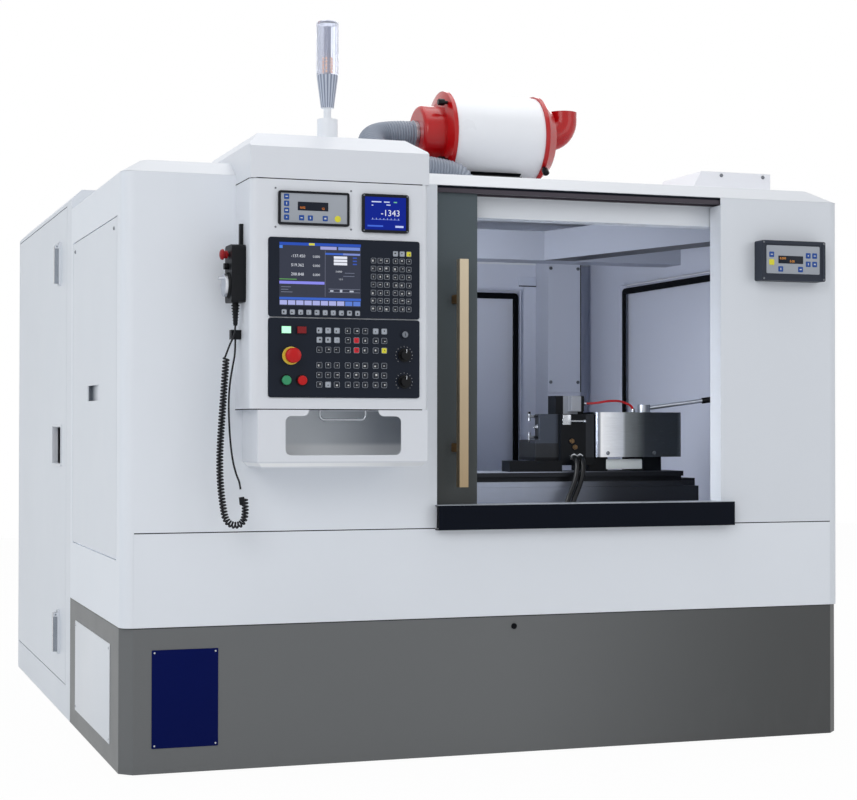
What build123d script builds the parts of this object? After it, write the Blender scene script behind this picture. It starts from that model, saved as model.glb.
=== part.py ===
from build123d import *
from math import cos, pi, radians, sin, sqrt, tan
import os

os.makedirs("parts", exist_ok=True)

# Sizes are in millimetres. X runs from left to right, Y from front to rear, Z up from the floor.

# Enclosure
WIDTH = 2084
DEPTH = 2240
CHAMBER_DEPTH = 1800
FRONT_SECTION = 900
CABINET_WIDTH = 450
CABINET_HEIGHT = 1600
CABINET_BEVEL = 30
PLINTH_HEIGHT = 377
PLINTH_LIFT = 6
APRON_HEIGHT = 240
APRON_FLANGE = 70
SHOULDER_HEIGHT = 1540
ROOF_RISE = 38
ROOF_BEVEL = 60
CORNER = 32
SHEET = 3
LEFT_COLUMN = 847
OPENING_WIDTH = 852
RIGHT_RETURN = 120
POST_FLANGE = 15
JAMB_FLANGE = 64

# Clearances between moving faces, on shafts, and between fitted sheets
FIT = 0.3
RUN = 0.05
SEAM = 0.2

# Bed, levelling pads and anchor lugs
BED_FRONT_LENGTH = 1720
BED_FRONT_WIDTH = 400
BED_REAR_WIDTH = 640
BED_REAR_LENGTH = 950
BED_TOP = 600
BED_WALL = 45
BED_LEFT_INSET = 142
BED_SETBACK = 250
PAD_HEIGHT = 60
PAD_RADIUS = 55
LUG_SIZE = 130
LUG_THICK = 45
ANCHOR_RADIUS = 11
ANCHOR_SPACING_X = 480
RAIL_HEIGHT = 55
RAIL_WIDTH = 46
RAIL_LIP = 24
DRAIN_RADIUS = 25
DRAIN_LENGTH = 50
DRAIN_HEIGHT = 250

# Work axis, tables and heads
WORK_SETBACK = 450
CENTRE_HEIGHT = 888
TABLE_TOP = 757
SWIVEL_THICK = 45
SWIVEL_LENGTH = 1200
SWIVEL_FRONT = 105
SWIVEL_REAR = 58
SLIDE_LENGTH = 1300
TABLE_MIDDLE = 309
PIVOT_RADIUS = 30
PIVOT_DEPTH = 24
SWIVEL_CLEAR = 8
HEAD_LENGTH = 210
HEAD_TOP = 92
SPINDLE_RADIUS = 35
FACEPLATE_RADIUS = 60
FACEPLATE_THICK = 20
CENTRE_RADIUS = 14
CENTRE_LENGTH = 36
CENTRE_ANGLE = 30
HEAD_MOTOR = 130

# Tailstock
TAIL_TIP = 462
QUILL_RADIUS = 22
QUILL_LENGTH = 330
TAIL_BODY_GAP = 30
TAIL_BODY_WIDTH = 116
TAIL_FOOT_HEIGHT = 42
TAIL_FOOT = 60
TAIL_FOOT_GAP = 117
TAIL_BODY_END = 20
TAIL_LIP = 12
TAIL_PLATE_LEAD = 8
TAIL_PLATE_END = 54
TAIL_PLATE_LOW = 38
TAIL_PLATE_HIGH = 39
LOWER_BLOCK_LEAD = 22
LOWER_BLOCK_END = 56
LOWER_BLOCK_DROP = 10
LOW_BLOCK_LEAD = 113
LOW_BLOCK_END = 53
LOW_BLOCK_EDGE = 8
LOW_BLOCK_DEPTH = 64
COVER_LENGTH = 288
COVER_DEPTH = 190
COVER_SHEET = 2
COVER_START = 164
COVER_HEIGHT = 134
LEVER_FROM_TIP = 366
LEVER_HUB_RADIUS = 19.5
LEVER_HUB_HEIGHT = 24
LEVER_REACH = 252
LEVER_RISE = 34
LEVER_ROD_RADIUS = 6
LEVER_GRIP_RADIUS = 9
LEVER_GRIP_LENGTH = 78
LEVER_ANGLE = -27
LEVER_SHAFT_RADIUS = 10
PIN_BAR_RADIUS = 4
PIN_BAR_LENGTH = 28
PIN_LEAD = 26
PIN_SETBACK = 24
PIN_UPPER = 32
PIN_LOWER = 30
VALVE_DEPTH = 26
VALVE_DROP = 24
DRESSER_START = 61
DRESSER_LENGTH = 89
DRESSER_HEIGHT = 55
DRESSER_HALF = 30
DRESSER_HOLDER = 26
HOLDER_START = 101
HOLDER_LENGTH = 41
HOLDER_LIFT = 8
HOLDER_HEIGHT = 46
DRAIN_HOSE_RADIUS = 8
AIR_HOSE_RADIUS = 3.5

# Wheelhead and wheel
WHEEL_RADIUS = 200
WHEEL_WIDTH = 50
WHEEL_RIGHT = 210
WHEEL_SETBACK = 880
WHEEL_FLANGE_RADIUS = 92
WHEEL_FLANGE_THICK = 14
WHEEL_SHAFT_RADIUS = 40
WHEEL_PULLEY_RADIUS = 60
GUARD_GAP = 12
GUARD_SHEET = 6
GUARD_SIDE_GAP = 22
WHEELHEAD_WIDTH = 250
WHEELHEAD_LENGTH = 630
WHEELHEAD_NOSE = 40
WHEELHEAD_TOP = 760
HOUSING_RADIUS = 95
WHEEL_MOTOR_RADIUS = 85
BELT_COVER = 52

# Sliding door, sill and tracks
SILL_RISE = 63
SILL_PROUD = 30
SILL_DROP = 4
SILL_LAP_LEFT = 5
SILL_LAP_RIGHT = 28
RUNNER_WIDTH = 30
DOOR_WIDTH = 900
DOOR_THICK = 38
DOOR_SETBACK = 20
DOOR_SHOWS = 122
DOOR_STILE = 127
DOOR_RAIL = 110
DOOR_REBATE = 18
DOOR_TOP_GAP = 7
GLASS_THICK = 8
TRACK_LIP = 8
TRACK_DROP = 18
TRACK_SIDE = 4
HANDLE_BAR = 25
HANDLE_LENGTH = 610
HANDLE_RISE = 48
HANDLE_STANDOFF = 42
HANDLE_EDGE = 62
HANDLE_POST_RADIUS = 9
HANDLE_POST_INSET = 105

# Hinged doors: tray, corner pins and brackets
TRAY_DEPTH = 16
DOOR_GAP = 3
HINGE_GAP = 5
HINGE_PIN_RADIUS = 4
HINGE_PIN_INSET = 9
HINGE_BRACKET = 6
HINGE_BLOCK = 22
SIDE_DOOR_FRONT = 76
SIDE_DOOR_REAR = 860
SIDE_DOOR_BASE = 548
SIDE_DOOR_TOP = 1430
PULL_NOTCH_LENGTH = 199
PULL_NOTCH_HEIGHT = 43
PULL_NOTCH_BASE = 960
SERVICE_DOOR_FRONT = 420
SERVICE_DOOR_REAR = 1440
SERVICE_DOOR_BASE = 560
SERVICE_DOOR_TOP = 1400
REVEAL = 23
PULL_BAR_LENGTH = 160
PULL_BAR_RADIUS = 7
PULL_BAR_STANDOFF = 34
REAR_HATCH_LEFT = 450
REAR_HATCH_WIDTH = 900
REAR_HATCH_THICK = 6

# Electrical cabinet
CABINET_KICK = 105
CABINET_DOOR_INSET = 100
CABINET_DOOR_TOP = 1557
CABINET_HINGE_INSET = 16
LATCH_FROM_EDGE = 150
LATCH_WIDTH = 32
LATCH_LENGTH = 136
LATCH_PLATE = 6
LATCH_LEVER = 19
LATCH_LEVER_DEPTH = 14
LATCH_PIN_RADIUS = 3
LATCH_PIN_STANDOFF = 12
UPPER_LATCH_HEIGHT = 1396
LOWER_LATCH_HEIGHT = 250
ISOLATOR_WINDOW_WIDTH = 190
ISOLATOR_WINDOW_HEIGHT = 114
ISOLATOR_FROM_FRONT = 308
ISOLATOR_HEIGHT = 829
ISOLATOR_BODY = 84
ISOLATOR_SHAFT_RADIUS = 6
ISOLATOR_LEVER_LENGTH = 96
ISOLATOR_LEVER_WIDTH = 22
ISOLATOR_RECESS = 22
RACK_INSET = 40
RACK_PLATE = 4
DRIVE_WIDTH = 96
DRIVE_HEIGHT = 320
DRIVE_DEPTH = 190
DRIVE_PITCH = 150
DRIVE_COUNT = 6
GLAND_RADIUS = 16
GLAND_WALL = 8
GLAND_LENGTH = 22

# Console
CONSOLE_FROM_LEFT = 294
CONSOLE_WIDTH = 473
CONSOLE_DEPTH = 165
CONSOLE_BASE = 933
CONSOLE_SEAM = 1514
CONSOLE_EDGE = 18
HOOD_FACE = 81
HOOD_RISE = 45
HOOD_SLOPE = 85
HOOD_SIDE = 38
HOOD_LENGTH = 601
POCKET_HEIGHT = 148
POCKET_INSET_LEFT = 19
POCKET_INSET_RIGHT = 3
POCKET_BEVEL = 16
POCKET_WINDOW_WIDTH = 306
POCKET_WINDOW_HEIGHT = 99
POCKET_WINDOW_RISE = 32
POCKET_NOTCH = 184
POCKET_FILLET = 15
PULL_WIDTH = 127
PULL_DROP = 29
PULL_WIRE_RADIUS = 3
PULL_BEND = 12
PULL_SETBACK = 12
PANEL_WIDTH = 400
PANEL_HEIGHT = 200
PANEL_PROUD = 6
PANEL_BODY = 58
PANEL_LIP = 12
PANEL_FROM_LEFT = 45
PANEL_BASE = 963
PANEL_SPACE = 3
PANEL_CORNER = 6
SCREEN_WIDTH = 214
SCREEN_HEIGHT = 160
SCREEN_LEFT = 28
SCREEN_TOP = 12
SCREEN_RECESS = 1.5
KEY_SIZE = 15
KEY_RISE = 0.8
BALANCER_WIDTH = 186
BALANCER_HEIGHT = 86
BALANCER_LEFT = 70
BALANCER_BASE = 1398
GAUGE_WIDTH = 125
GAUGE_HEIGHT = 99
GAUGE_LEFT = 290
GAUGE_BASE = 1386
UNIT_PROUD = 8
UNIT_BODY = 70
UNIT_RECESS = 2

# Panel controls, placed from the panel's left and top edges
BUTTON_BARREL = 10
BUTTON_CAP_RADIUS = 12
BUTTON_CAP = 6
BUTTON_TRAVEL = 4
BUTTON_COLLAR = 3
BUTTON_STEM = 22
ESTOP_PLACE = (58, 95)
ESTOP_HEAD_RADIUS = 19
ESTOP_HEAD = 14
ESTOP_NECK = 8
ESTOP_BASE_RADIUS = 21
ESTOP_TRAVEL = 6
START_PLACE = (45, 157)
STOP_PLACE = (86, 157)
POWER_ON_PLACE = (45, 30)
POWER_OFF_PLACE = (85, 30)
POWER_KEY = (23, 17)
DIAL_RADIUS = 17
DIAL_HEIGHT = 18
DIAL_SHAFT = 3
FEED_DIAL_PLACE = (358, 90)
RAPID_DIAL_PLACE = (358, 158)
KEY_SWITCH_PLACE = (359, 37)
KEY_SWITCH_RADIUS = 8
KEY_SWITCH_HEIGHT = 7

# Hand pendant and its cord
PENDANT_THICK = 37
PENDANT_WIDTH = 76
PENDANT_HEIGHT = 146
PENDANT_BASE = 1204
PENDANT_SETBACK = 47
PENDANT_CORNER = 10
HANGER_HEIGHT = 55
HANDWHEEL_RADIUS = 29
HANDWHEEL_THICK = 13
HANDWHEEL_RISE = 44
HANDWHEEL_KNOB_RADIUS = 4.5
HANDWHEEL_KNOB_LENGTH = 12
PENDANT_STOP_RISE = 122
PENDANT_STOP_RADIUS = 10
PENDANT_STOP_HEAD = 9
PENDANT_STOP_TRAVEL = 3
SELECTOR_RISE = 92
SELECTOR_RADIUS = 8
SELECTOR_HEIGHT = 12
CONTROL_SHAFT = 4
RELIEF_LENGTH = 58
RELIEF_TOP_RADIUS = 8
RELIEF_END_RADIUS = 5
CLIP_SIZE = 24
CLIP_THICK = 26
CLIP_BASE = 1112
CORD_RADIUS = 2.5
CURL_RADIUS = 7
CURL_COUNT = 64
SLEEVE_LENGTH = 20
SLEEVE_WIDTH = 13

# Coolant monitor on the right column
MONITOR_WIDTH = 205
MONITOR_HEIGHT = 114
MONITOR_DEPTH = 44
MONITOR_INSET = 72
MONITOR_BASE = 1306
MONITOR_FRAME = 10

# Chamber liner
FLOOR_HEIGHT = 520
HEADER_DEPTH = 60
HEADER_DROP = 76
BULKHEAD_FROM_FRONT = 1005
BULKHEAD_DEPTH = 118
BULKHEAD_DROP = 97
SIDE_BULKHEAD_WIDTH = 104
SIDE_BULKHEAD_FRONT = 242
SIDE_BULKHEAD_REAR = 507
COLUMN_WIDTH = 130
COLUMN_DEPTH = 118
COLUMN_FROM_RIGHT = 82
COVER_PLATE = 4
COVER_PLATE_RISE = 493
COVER_PLATE_DROP = 43

# Roof box
ROOF_BOX_WIDTH = 262
ROOF_BOX_DEPTH = 250
ROOF_BOX_HEIGHT = 63
ROOF_BOX_SLOPE = 34
ROOF_BOX_SETBACK = 180
ROOF_BOX_FROM_RIGHT = 124

# Mist collector and its hose
DRUM_RADIUS = 128
DRUM_LENGTH = 280
DRUM_WALL = 2
DRUM_SETBACK = 550
DRUM_LIFT = 57
DRUM_FROM_OPENING = 213
CAP_RIM = 5
CAP_LIP = 12
CAP_DISH = 34
CAP_NECK_RADIUS = 100
INLET_DISH = 10
INLET_RADIUS = 87
INLET_LENGTH = 66
INLET_ROUND = 14
CAP_WALL = 4
OUTLET_RADIUS = 44
OUTLET_BEND = 50
OUTLET_RISE = 16
OUTLET_COLLAR = 26
OUTLET_NECK = 11
SADDLE_LENGTH = 188
SADDLE_INSET = 31
SADDLE_WIDTH = 170
SADDLE_HEIGHT = 62
HOSE_RADIUS = 40
HOSE_BORE = 34
HOSE_PORT = 29
HOSE_RIB = 3
HOSE_PITCH = 9

# Signal beacon on the hood
BEACON_FROM_CONSOLE = 243
BEACON_SETBACK = 155
BEACON_FOOT_RADIUS = 27
BEACON_FOOT_HEIGHT = 56
BEACON_NECK_RADIUS = 10
BEACON_NECK_HEIGHT = 30
BEACON_TAPER_HEIGHT = 86
BEACON_TAPER_RADIUS = 17
BEACON_LENS_RADIUS = 28.5
BEACON_LENS_HEIGHT = 143
BEACON_WALL = 2.5

# Planes that the sizes above give
LEFT = -WIDTH / 2
RIGHT = WIDTH / 2
FRONT = -DEPTH / 2
REAR = DEPTH / 2
CHAMBER_REAR = FRONT + CHAMBER_DEPTH
CABINET_FRONT = FRONT + FRONT_SECTION
CABINET_RIGHT = LEFT + CABINET_WIDTH
APRON_TOP = PLINTH_HEIGHT + APRON_HEIGHT
ROOF_TOP = SHOULDER_HEIGHT + ROOF_RISE
OPENING_LEFT = LEFT + LEFT_COLUMN
OPENING_RIGHT = OPENING_LEFT + OPENING_WIDTH
SILL_TOP = APRON_TOP + SILL_RISE
DOOR_FRONT = FRONT + DOOR_SETBACK
DOOR_REAR = DOOR_FRONT + DOOR_THICK
WORK_Y = FRONT + WORK_SETBACK
PIVOT_X = OPENING_LEFT + TABLE_MIDDLE
SWIVEL_BASE = TABLE_TOP - SWIVEL_THICK
RAIL_TOP = BED_TOP + RAIL_HEIGHT
BED_LEFT = LEFT + BED_LEFT_INSET
BED_RIGHT = BED_LEFT + BED_FRONT_LENGTH
BED_FRONT = FRONT + BED_SETBACK
BED_STEP = BED_FRONT + BED_FRONT_WIDTH
BED_REAR = BED_STEP + BED_REAR_LENGTH
WHEEL_X = OPENING_LEFT + WHEEL_RIGHT
WHEEL_Y = FRONT + WHEEL_SETBACK
WHEELHEAD_RIGHT = WHEEL_X - WHEEL_WIDTH / 2 - GUARD_SIDE_GAP - GUARD_SHEET - WHEEL_FLANGE_THICK
WHEELHEAD_LEFT = WHEELHEAD_RIGHT - WHEELHEAD_WIDTH
WHEELHEAD_FRONT = WHEEL_Y - HOUSING_RADIUS - WHEELHEAD_NOSE
REAR_BED_LEFT = WHEELHEAD_LEFT - BELT_COVER - 40
CONSOLE_LEFT = LEFT + CONSOLE_FROM_LEFT
CONSOLE_RIGHT = CONSOLE_LEFT + CONSOLE_WIDTH
CONSOLE_FRONT = FRONT - CONSOLE_DEPTH
HOOD_TOP = CONSOLE_SEAM + HOOD_FACE + HOOD_RISE
PENDANT_FACE = CONSOLE_LEFT - PENDANT_THICK
PENDANT_Y = CONSOLE_FRONT + PENDANT_SETBACK + PENDANT_WIDTH / 2
DRUM_LEFT = OPENING_LEFT + DRUM_FROM_OPENING
DRUM_Y = FRONT + DRUM_SETBACK
DRUM_Z = ROOF_TOP + DRUM_LIFT + DRUM_RADIUS


def span(a, b):
    """Two limits in rising order."""
    return (min(a, b), max(a, b))


def slab(x, y, z):
    """Block between two limits on each axis."""
    centre = Pos((x[0] + x[1]) / 2, (y[0] + y[1]) / 2, (z[0] + z[1]) / 2)
    return centre * Box(x[1] - x[0], y[1] - y[0], z[1] - z[0])


def rod_x(x, y, z, radius):
    """Cylinder along X between two limits."""
    return Pos((x[0] + x[1]) / 2, y, z) * Rot(0, 90, 0) * Cylinder(radius, x[1] - x[0])


def rod_y(x, y, z, radius):
    """Cylinder along Y between two limits."""
    return Pos(x, (y[0] + y[1]) / 2, z) * Rot(90, 0, 0) * Cylinder(radius, y[1] - y[0])


def rod_z(x, y, z, radius):
    """Cylinder along Z between two limits."""
    return Pos(x, y, (z[0] + z[1]) / 2) * Cylinder(radius, z[1] - z[0])


def cone_x(x, y, z, start_radius, end_radius):
    """Cone along X from a radius at the first limit to a radius at the second."""
    length = abs(x[1] - x[0])
    turn = 90 if x[1] > x[0] else -90
    return Pos((x[0] + x[1]) / 2, y, z) * Rot(0, turn, 0) * Cone(start_radius, end_radius, length)


def prism_x(x, outline):
    """Outline of (y, z) points carried along X between two limits."""
    face = make_face(Polyline(*[(0, y, z) for y, z in outline], close=True))
    return Pos(x[0], 0, 0) * extrude(face, x[1] - x[0], dir=(1, 0, 0))


def prism_y(y, outline):
    """Outline of (x, z) points carried along Y between two limits."""
    face = make_face(Polyline(*[(px, 0, pz) for px, pz in outline], close=True))
    return Pos(0, y[0], 0) * extrude(face, y[1] - y[0], dir=(0, 1, 0))


def trough(x, y, z):
    """Sheet box open above."""
    inside = slab((x[0] + SHEET, x[1] - SHEET), (y[0] + SHEET, y[1] - SHEET), (z[0] + SHEET, z[1]))
    return slab(x, y, z) - inside


def case(x, y, z):
    """Sheet box open on its right side."""
    inside = slab((x[0] + SHEET, x[1]), (y[0] + SHEET, y[1] - SHEET), (z[0] + SHEET, z[1] - SHEET))
    return slab(x, y, z) - inside


NODES = {}


def keep(name, *shapes):
    """Gather the solids of one named node."""
    NODES[name] = [solid for shape in shapes for solid in shape.solids()]


def cabinet_zone(z):
    """Space of the electrical cabinet, which the enclosure skin leaves free."""
    return slab((LEFT, CABINET_RIGHT), (CABINET_FRONT, REAR), z)


def skin(z):
    """Ring of enclosure sheet with rounded corners, between two heights."""
    place = Pos(0, (FRONT + CHAMBER_REAR) / 2, z[0])
    outer = RectangleRounded(WIDTH, CHAMBER_DEPTH, CORNER)
    inner = RectangleRounded(WIDTH - 2 * SHEET, CHAMBER_DEPTH - 2 * SHEET, CORNER - SHEET)
    ring = place * extrude(outer - inner, z[1] - z[0])
    return ring - cabinet_zone(z)


def plinth_skirt():
    """Grey sheet skirt with bevelled corners, a little off the floor; the drain pipe is at the rear."""
    def outline(inset):
        plate = Rectangle(WIDTH - 2 * inset, CHAMBER_DEPTH - 2 * inset)
        return chamfer(plate.vertices(), CORNER - inset * (2 - sqrt(2)))
    place = Pos(0, (FRONT + CHAMBER_REAR) / 2, PLINTH_LIFT)
    ring = place * extrude(outline(0) - outline(SHEET), PLINTH_HEIGHT - PLINTH_LIFT)
    ring -= cabinet_zone((0, PLINTH_HEIGHT))
    pipe = (CHAMBER_REAR - SHEET, CHAMBER_REAR + DRAIN_LENGTH)
    drain = rod_y(PIVOT_X, pipe, DRAIN_HEIGHT, DRAIN_RADIUS + SHEET)
    bore = rod_y(PIVOT_X, pipe, DRAIN_HEIGHT, DRAIN_RADIUS)
    return ring + drain - bore


def front_apron():
    """Lower front sheet with an inward flange that carries the door runner."""
    zone = slab((LEFT + CORNER, RIGHT - CORNER), (FRONT, FRONT + CORNER), (PLINTH_HEIGHT, APRON_TOP))
    flange = slab(
        (LEFT + CORNER, RIGHT - CORNER),
        (FRONT + SHEET, FRONT + APRON_FLANGE),
        (APRON_TOP - SHEET, APRON_TOP),
    )
    return (skin((PLINTH_HEIGHT, APRON_TOP)) & zone) + flange


def apron_zone():
    """Space of the apron, cut out of the columns."""
    return slab((LEFT + CORNER, RIGHT - CORNER), (FRONT, FRONT + CORNER), (PLINTH_HEIGHT, APRON_TOP))


def hinged_door(face_x, inward, hinge_y, free_y, z, pull=None):
    """Tray door flush with a side wall, on a pin above and below its hinge edge.

    Gives the door, the opening in the wall, the wall's two brackets and their bores.
    inward is +1 on the left wall and -1 on the right wall.
    """
    away = 1 if free_y > hinge_y else -1
    inside = face_x + inward * TRAY_DEPTH
    pin = (face_x + inward * HINGE_PIN_INSET, hinge_y + away * HINGE_PIN_INSET)
    tray = slab(span(face_x, inside), span(hinge_y, free_y), z)
    tray -= slab(
        span(face_x + inward * SHEET, inside),
        span(hinge_y + away * SHEET, free_y - away * SHEET),
        (z[0] + SHEET, z[1] - SHEET),
    )
    gap = DOOR_GAP + HINGE_BRACKET
    blocks = ((z[0], z[0] + HINGE_BLOCK), (z[1] - HINGE_BLOCK, z[1]))
    for block in blocks:
        tray += slab(span(face_x, inside), span(hinge_y, hinge_y + away * HINGE_BLOCK), block)
    for pin_z in ((z[0] - gap, z[0]), (z[1], z[1] + gap)):
        tray += rod_z(pin[0], pin[1], pin_z, HINGE_PIN_RADIUS)
    opening = slab(
        span(face_x, face_x + inward * SHEET),
        span(hinge_y - away * HINGE_GAP, free_y + away * DOOR_GAP),
        (z[0] - DOOR_GAP, z[1] + DOOR_GAP),
    )
    brackets = []
    bores = []
    for low in (z[0] - gap, z[1] + DOOR_GAP):
        level = (low, low + HINGE_BRACKET)
        brackets.append(slab(
            span(face_x, inside + inward * HINGE_BLOCK / 2),
            span(pin[1] - HINGE_BLOCK, pin[1] + HINGE_BLOCK),
            level,
        ))
        bores.append(rod_z(pin[0], pin[1], level, HINGE_PIN_RADIUS + RUN))
    return tray, opening, brackets, bores


def hang(wall, opening, brackets, bores):
    """Cut a hinged door's opening in a wall and add its brackets."""
    wall -= opening
    for bracket in brackets:
        wall += bracket
    for bore in bores:
        wall -= bore
    return wall


def left_side():
    """Left column and side wall in one folded sheet, with the side door in it."""
    zone = slab((LEFT, OPENING_LEFT), (FRONT, CABINET_FRONT), (PLINTH_HEIGHT, SHOULDER_HEIGHT))
    wall = (skin((PLINTH_HEIGHT, SHOULDER_HEIGHT)) & zone) - apron_zone()
    wall += slab(
        (OPENING_LEFT - SHEET, OPENING_LEFT),
        (FRONT, FRONT + POST_FLANGE),
        (APRON_TOP, SHOULDER_HEIGHT - TRACK_DROP),
    )
    door, opening, brackets, bores = hinged_door(
        LEFT, 1, FRONT + SIDE_DOOR_REAR, FRONT + SIDE_DOOR_FRONT, (SIDE_DOOR_BASE, SIDE_DOOR_TOP),
    )
    middle = FRONT + (SIDE_DOOR_FRONT + SIDE_DOOR_REAR) / 2
    notch_y = (middle - PULL_NOTCH_LENGTH / 2, middle + PULL_NOTCH_LENGTH / 2)
    notch_z = (PULL_NOTCH_BASE, PULL_NOTCH_BASE + PULL_NOTCH_HEIGHT)
    cup = slab(
        (LEFT, LEFT + TRAY_DEPTH),
        (notch_y[0] - SHEET, notch_y[1] + SHEET),
        (notch_z[0] - SHEET, notch_z[1] + SHEET),
    )
    door = door + cup - slab((LEFT, LEFT + TRAY_DEPTH - SHEET), notch_y, notch_z)
    return hang(wall, opening, brackets, bores), door


def right_column():
    """Right column with its short return and the jamb that the sliding door meets."""
    zone = slab((OPENING_RIGHT, RIGHT), (FRONT, FRONT + RIGHT_RETURN), (PLINTH_HEIGHT, SHOULDER_HEIGHT))
    wall = (skin((PLINTH_HEIGHT, SHOULDER_HEIGHT)) & zone) - apron_zone()
    jamb = slab(
        (OPENING_RIGHT, OPENING_RIGHT + SHEET),
        (FRONT + SHEET, FRONT + JAMB_FLANGE),
        (APRON_TOP + SILL_RISE, SHOULDER_HEIGHT - TRACK_DROP - SHEET),
    )
    return wall + jamb


def right_side():
    """Right wall with a deep reveal round its service door."""
    zone = slab(
        (0, RIGHT),
        (FRONT + RIGHT_RETURN, CHAMBER_REAR - CORNER),
        (PLINTH_HEIGHT, SHOULDER_HEIGHT),
    )
    wall = skin((PLINTH_HEIGHT, SHOULDER_HEIGHT)) & zone
    door, opening, brackets, bores = hinged_door(
        RIGHT, -1, FRONT + SERVICE_DOOR_REAR, FRONT + SERVICE_DOOR_FRONT,
        (SERVICE_DOOR_BASE, SERVICE_DOOR_TOP),
    )
    low = opening.bounding_box().min
    high = opening.bounding_box().max
    reveal_x = (RIGHT - SHEET - REVEAL, RIGHT - SHEET)
    wall += slab(reveal_x, (low.Y - SHEET, high.Y + SHEET), (low.Z - SHEET, high.Z + SHEET))
    wall -= slab(reveal_x, (low.Y, high.Y), (low.Z, high.Z))
    bar_y = FRONT + SERVICE_DOOR_FRONT + 60
    bar_z = (SERVICE_DOOR_BASE + SERVICE_DOOR_TOP) / 2
    door += pull_bar(RIGHT, bar_y, bar_z)
    return hang(wall, opening, brackets, bores), door


def pull_bar(face_x, y, z):
    """Round pull bar on two posts, standing out to the right of a wall."""
    ends = (z - PULL_BAR_LENGTH / 2, z + PULL_BAR_LENGTH / 2)
    bar = rod_z(face_x + PULL_BAR_STANDOFF, y, ends, PULL_BAR_RADIUS)
    for end in (ends[0] + 2 * PULL_BAR_RADIUS, ends[1] - 2 * PULL_BAR_RADIUS):
        bar += rod_x((face_x - SHEET / 2, face_x + PULL_BAR_STANDOFF), y, end, PULL_BAR_RADIUS * 0.8)
    return bar


def rear_panel():
    """Rear wall with a bolted hatch over its opening."""
    zone = slab(
        (CABINET_RIGHT, RIGHT),
        (CHAMBER_REAR - CORNER, CHAMBER_REAR),
        (PLINTH_HEIGHT, SHOULDER_HEIGHT),
    )
    wall = skin((PLINTH_HEIGHT, SHOULDER_HEIGHT)) & zone
    hatch_x = (CABINET_RIGHT + REAR_HATCH_LEFT, CABINET_RIGHT + REAR_HATCH_LEFT + REAR_HATCH_WIDTH)
    hatch_z = (SERVICE_DOOR_BASE, SERVICE_DOOR_TOP)
    reveal_y = (CHAMBER_REAR - SHEET - REVEAL, CHAMBER_REAR)
    wall += slab(
        (hatch_x[0] - SHEET, hatch_x[1] + SHEET),
        reveal_y,
        (hatch_z[0] - SHEET, hatch_z[1] + SHEET),
    )
    wall -= slab(hatch_x, reveal_y, hatch_z)
    lap = REVEAL
    hatch = slab(
        (hatch_x[0] - lap, hatch_x[1] + lap),
        (CHAMBER_REAR, CHAMBER_REAR + REAR_HATCH_THICK),
        (hatch_z[0] - lap, hatch_z[1] + lap),
    )
    return wall, hatch


def roof_tray():
    """Roof lid with bevelled edges, open below, holed for the mist hose."""
    middle = (FRONT + CHAMBER_REAR) / 2

    def level(height, inset):
        plate = RectangleRounded(WIDTH - 2 * inset, CHAMBER_DEPTH - 2 * inset, CORNER - SHEET)
        return (Pos(0, middle, height) * plate).face()
    outer = loft([level(SHOULDER_HEIGHT, 0), level(ROOF_TOP, ROOF_BEVEL)], ruled=True)
    inner = loft(
        [level(SHOULDER_HEIGHT, 2 * SHEET), level(ROOF_TOP - SHEET, ROOF_BEVEL + SHEET)],
        ruled=True,
    )
    lid = outer - inner - cabinet_zone((SHOULDER_HEIGHT, ROOF_TOP + SHEET))
    port = hose_end()
    lid -= rod_z(port[0], port[1], (ROOF_TOP - 2 * SHEET, ROOF_TOP + SHEET), HOSE_PORT)
    return lid


def roof_box():
    """Small box on the roof with one sloped side."""
    right = RIGHT - ROOF_BOX_FROM_RIGHT
    left = right - ROOF_BOX_WIDTH
    top = ROOF_TOP + ROOF_BOX_HEIGHT
    outline = [(left, ROOF_TOP), (right, ROOF_TOP), (right, top), (left + ROOF_BOX_SLOPE, top)]
    inner = [
        (left + 2 * SHEET, ROOF_TOP), (right - SHEET, ROOF_TOP), (right - SHEET, top - SHEET),
        (left + ROOF_BOX_SLOPE + SHEET, top - SHEET),
    ]
    y = (FRONT + ROOF_BOX_SETBACK, FRONT + ROOF_BOX_SETBACK + ROOF_BOX_DEPTH)
    return prism_y(y, outline) - prism_y((y[0] + SHEET, y[1] - SHEET), inner)


def saddle():
    """Long saddle on the roof that carries the mist drum."""
    x = (DRUM_LEFT + SADDLE_INSET, DRUM_LEFT + SADDLE_INSET + SADDLE_LENGTH)
    block = slab(
        x,
        (DRUM_Y - SADDLE_WIDTH / 2, DRUM_Y + SADDLE_WIDTH / 2),
        (ROOF_TOP, ROOF_TOP + SADDLE_HEIGHT),
    )
    return block - rod_x(x, DRUM_Y, DRUM_Z, DRUM_RADIUS + SEAM)


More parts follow.
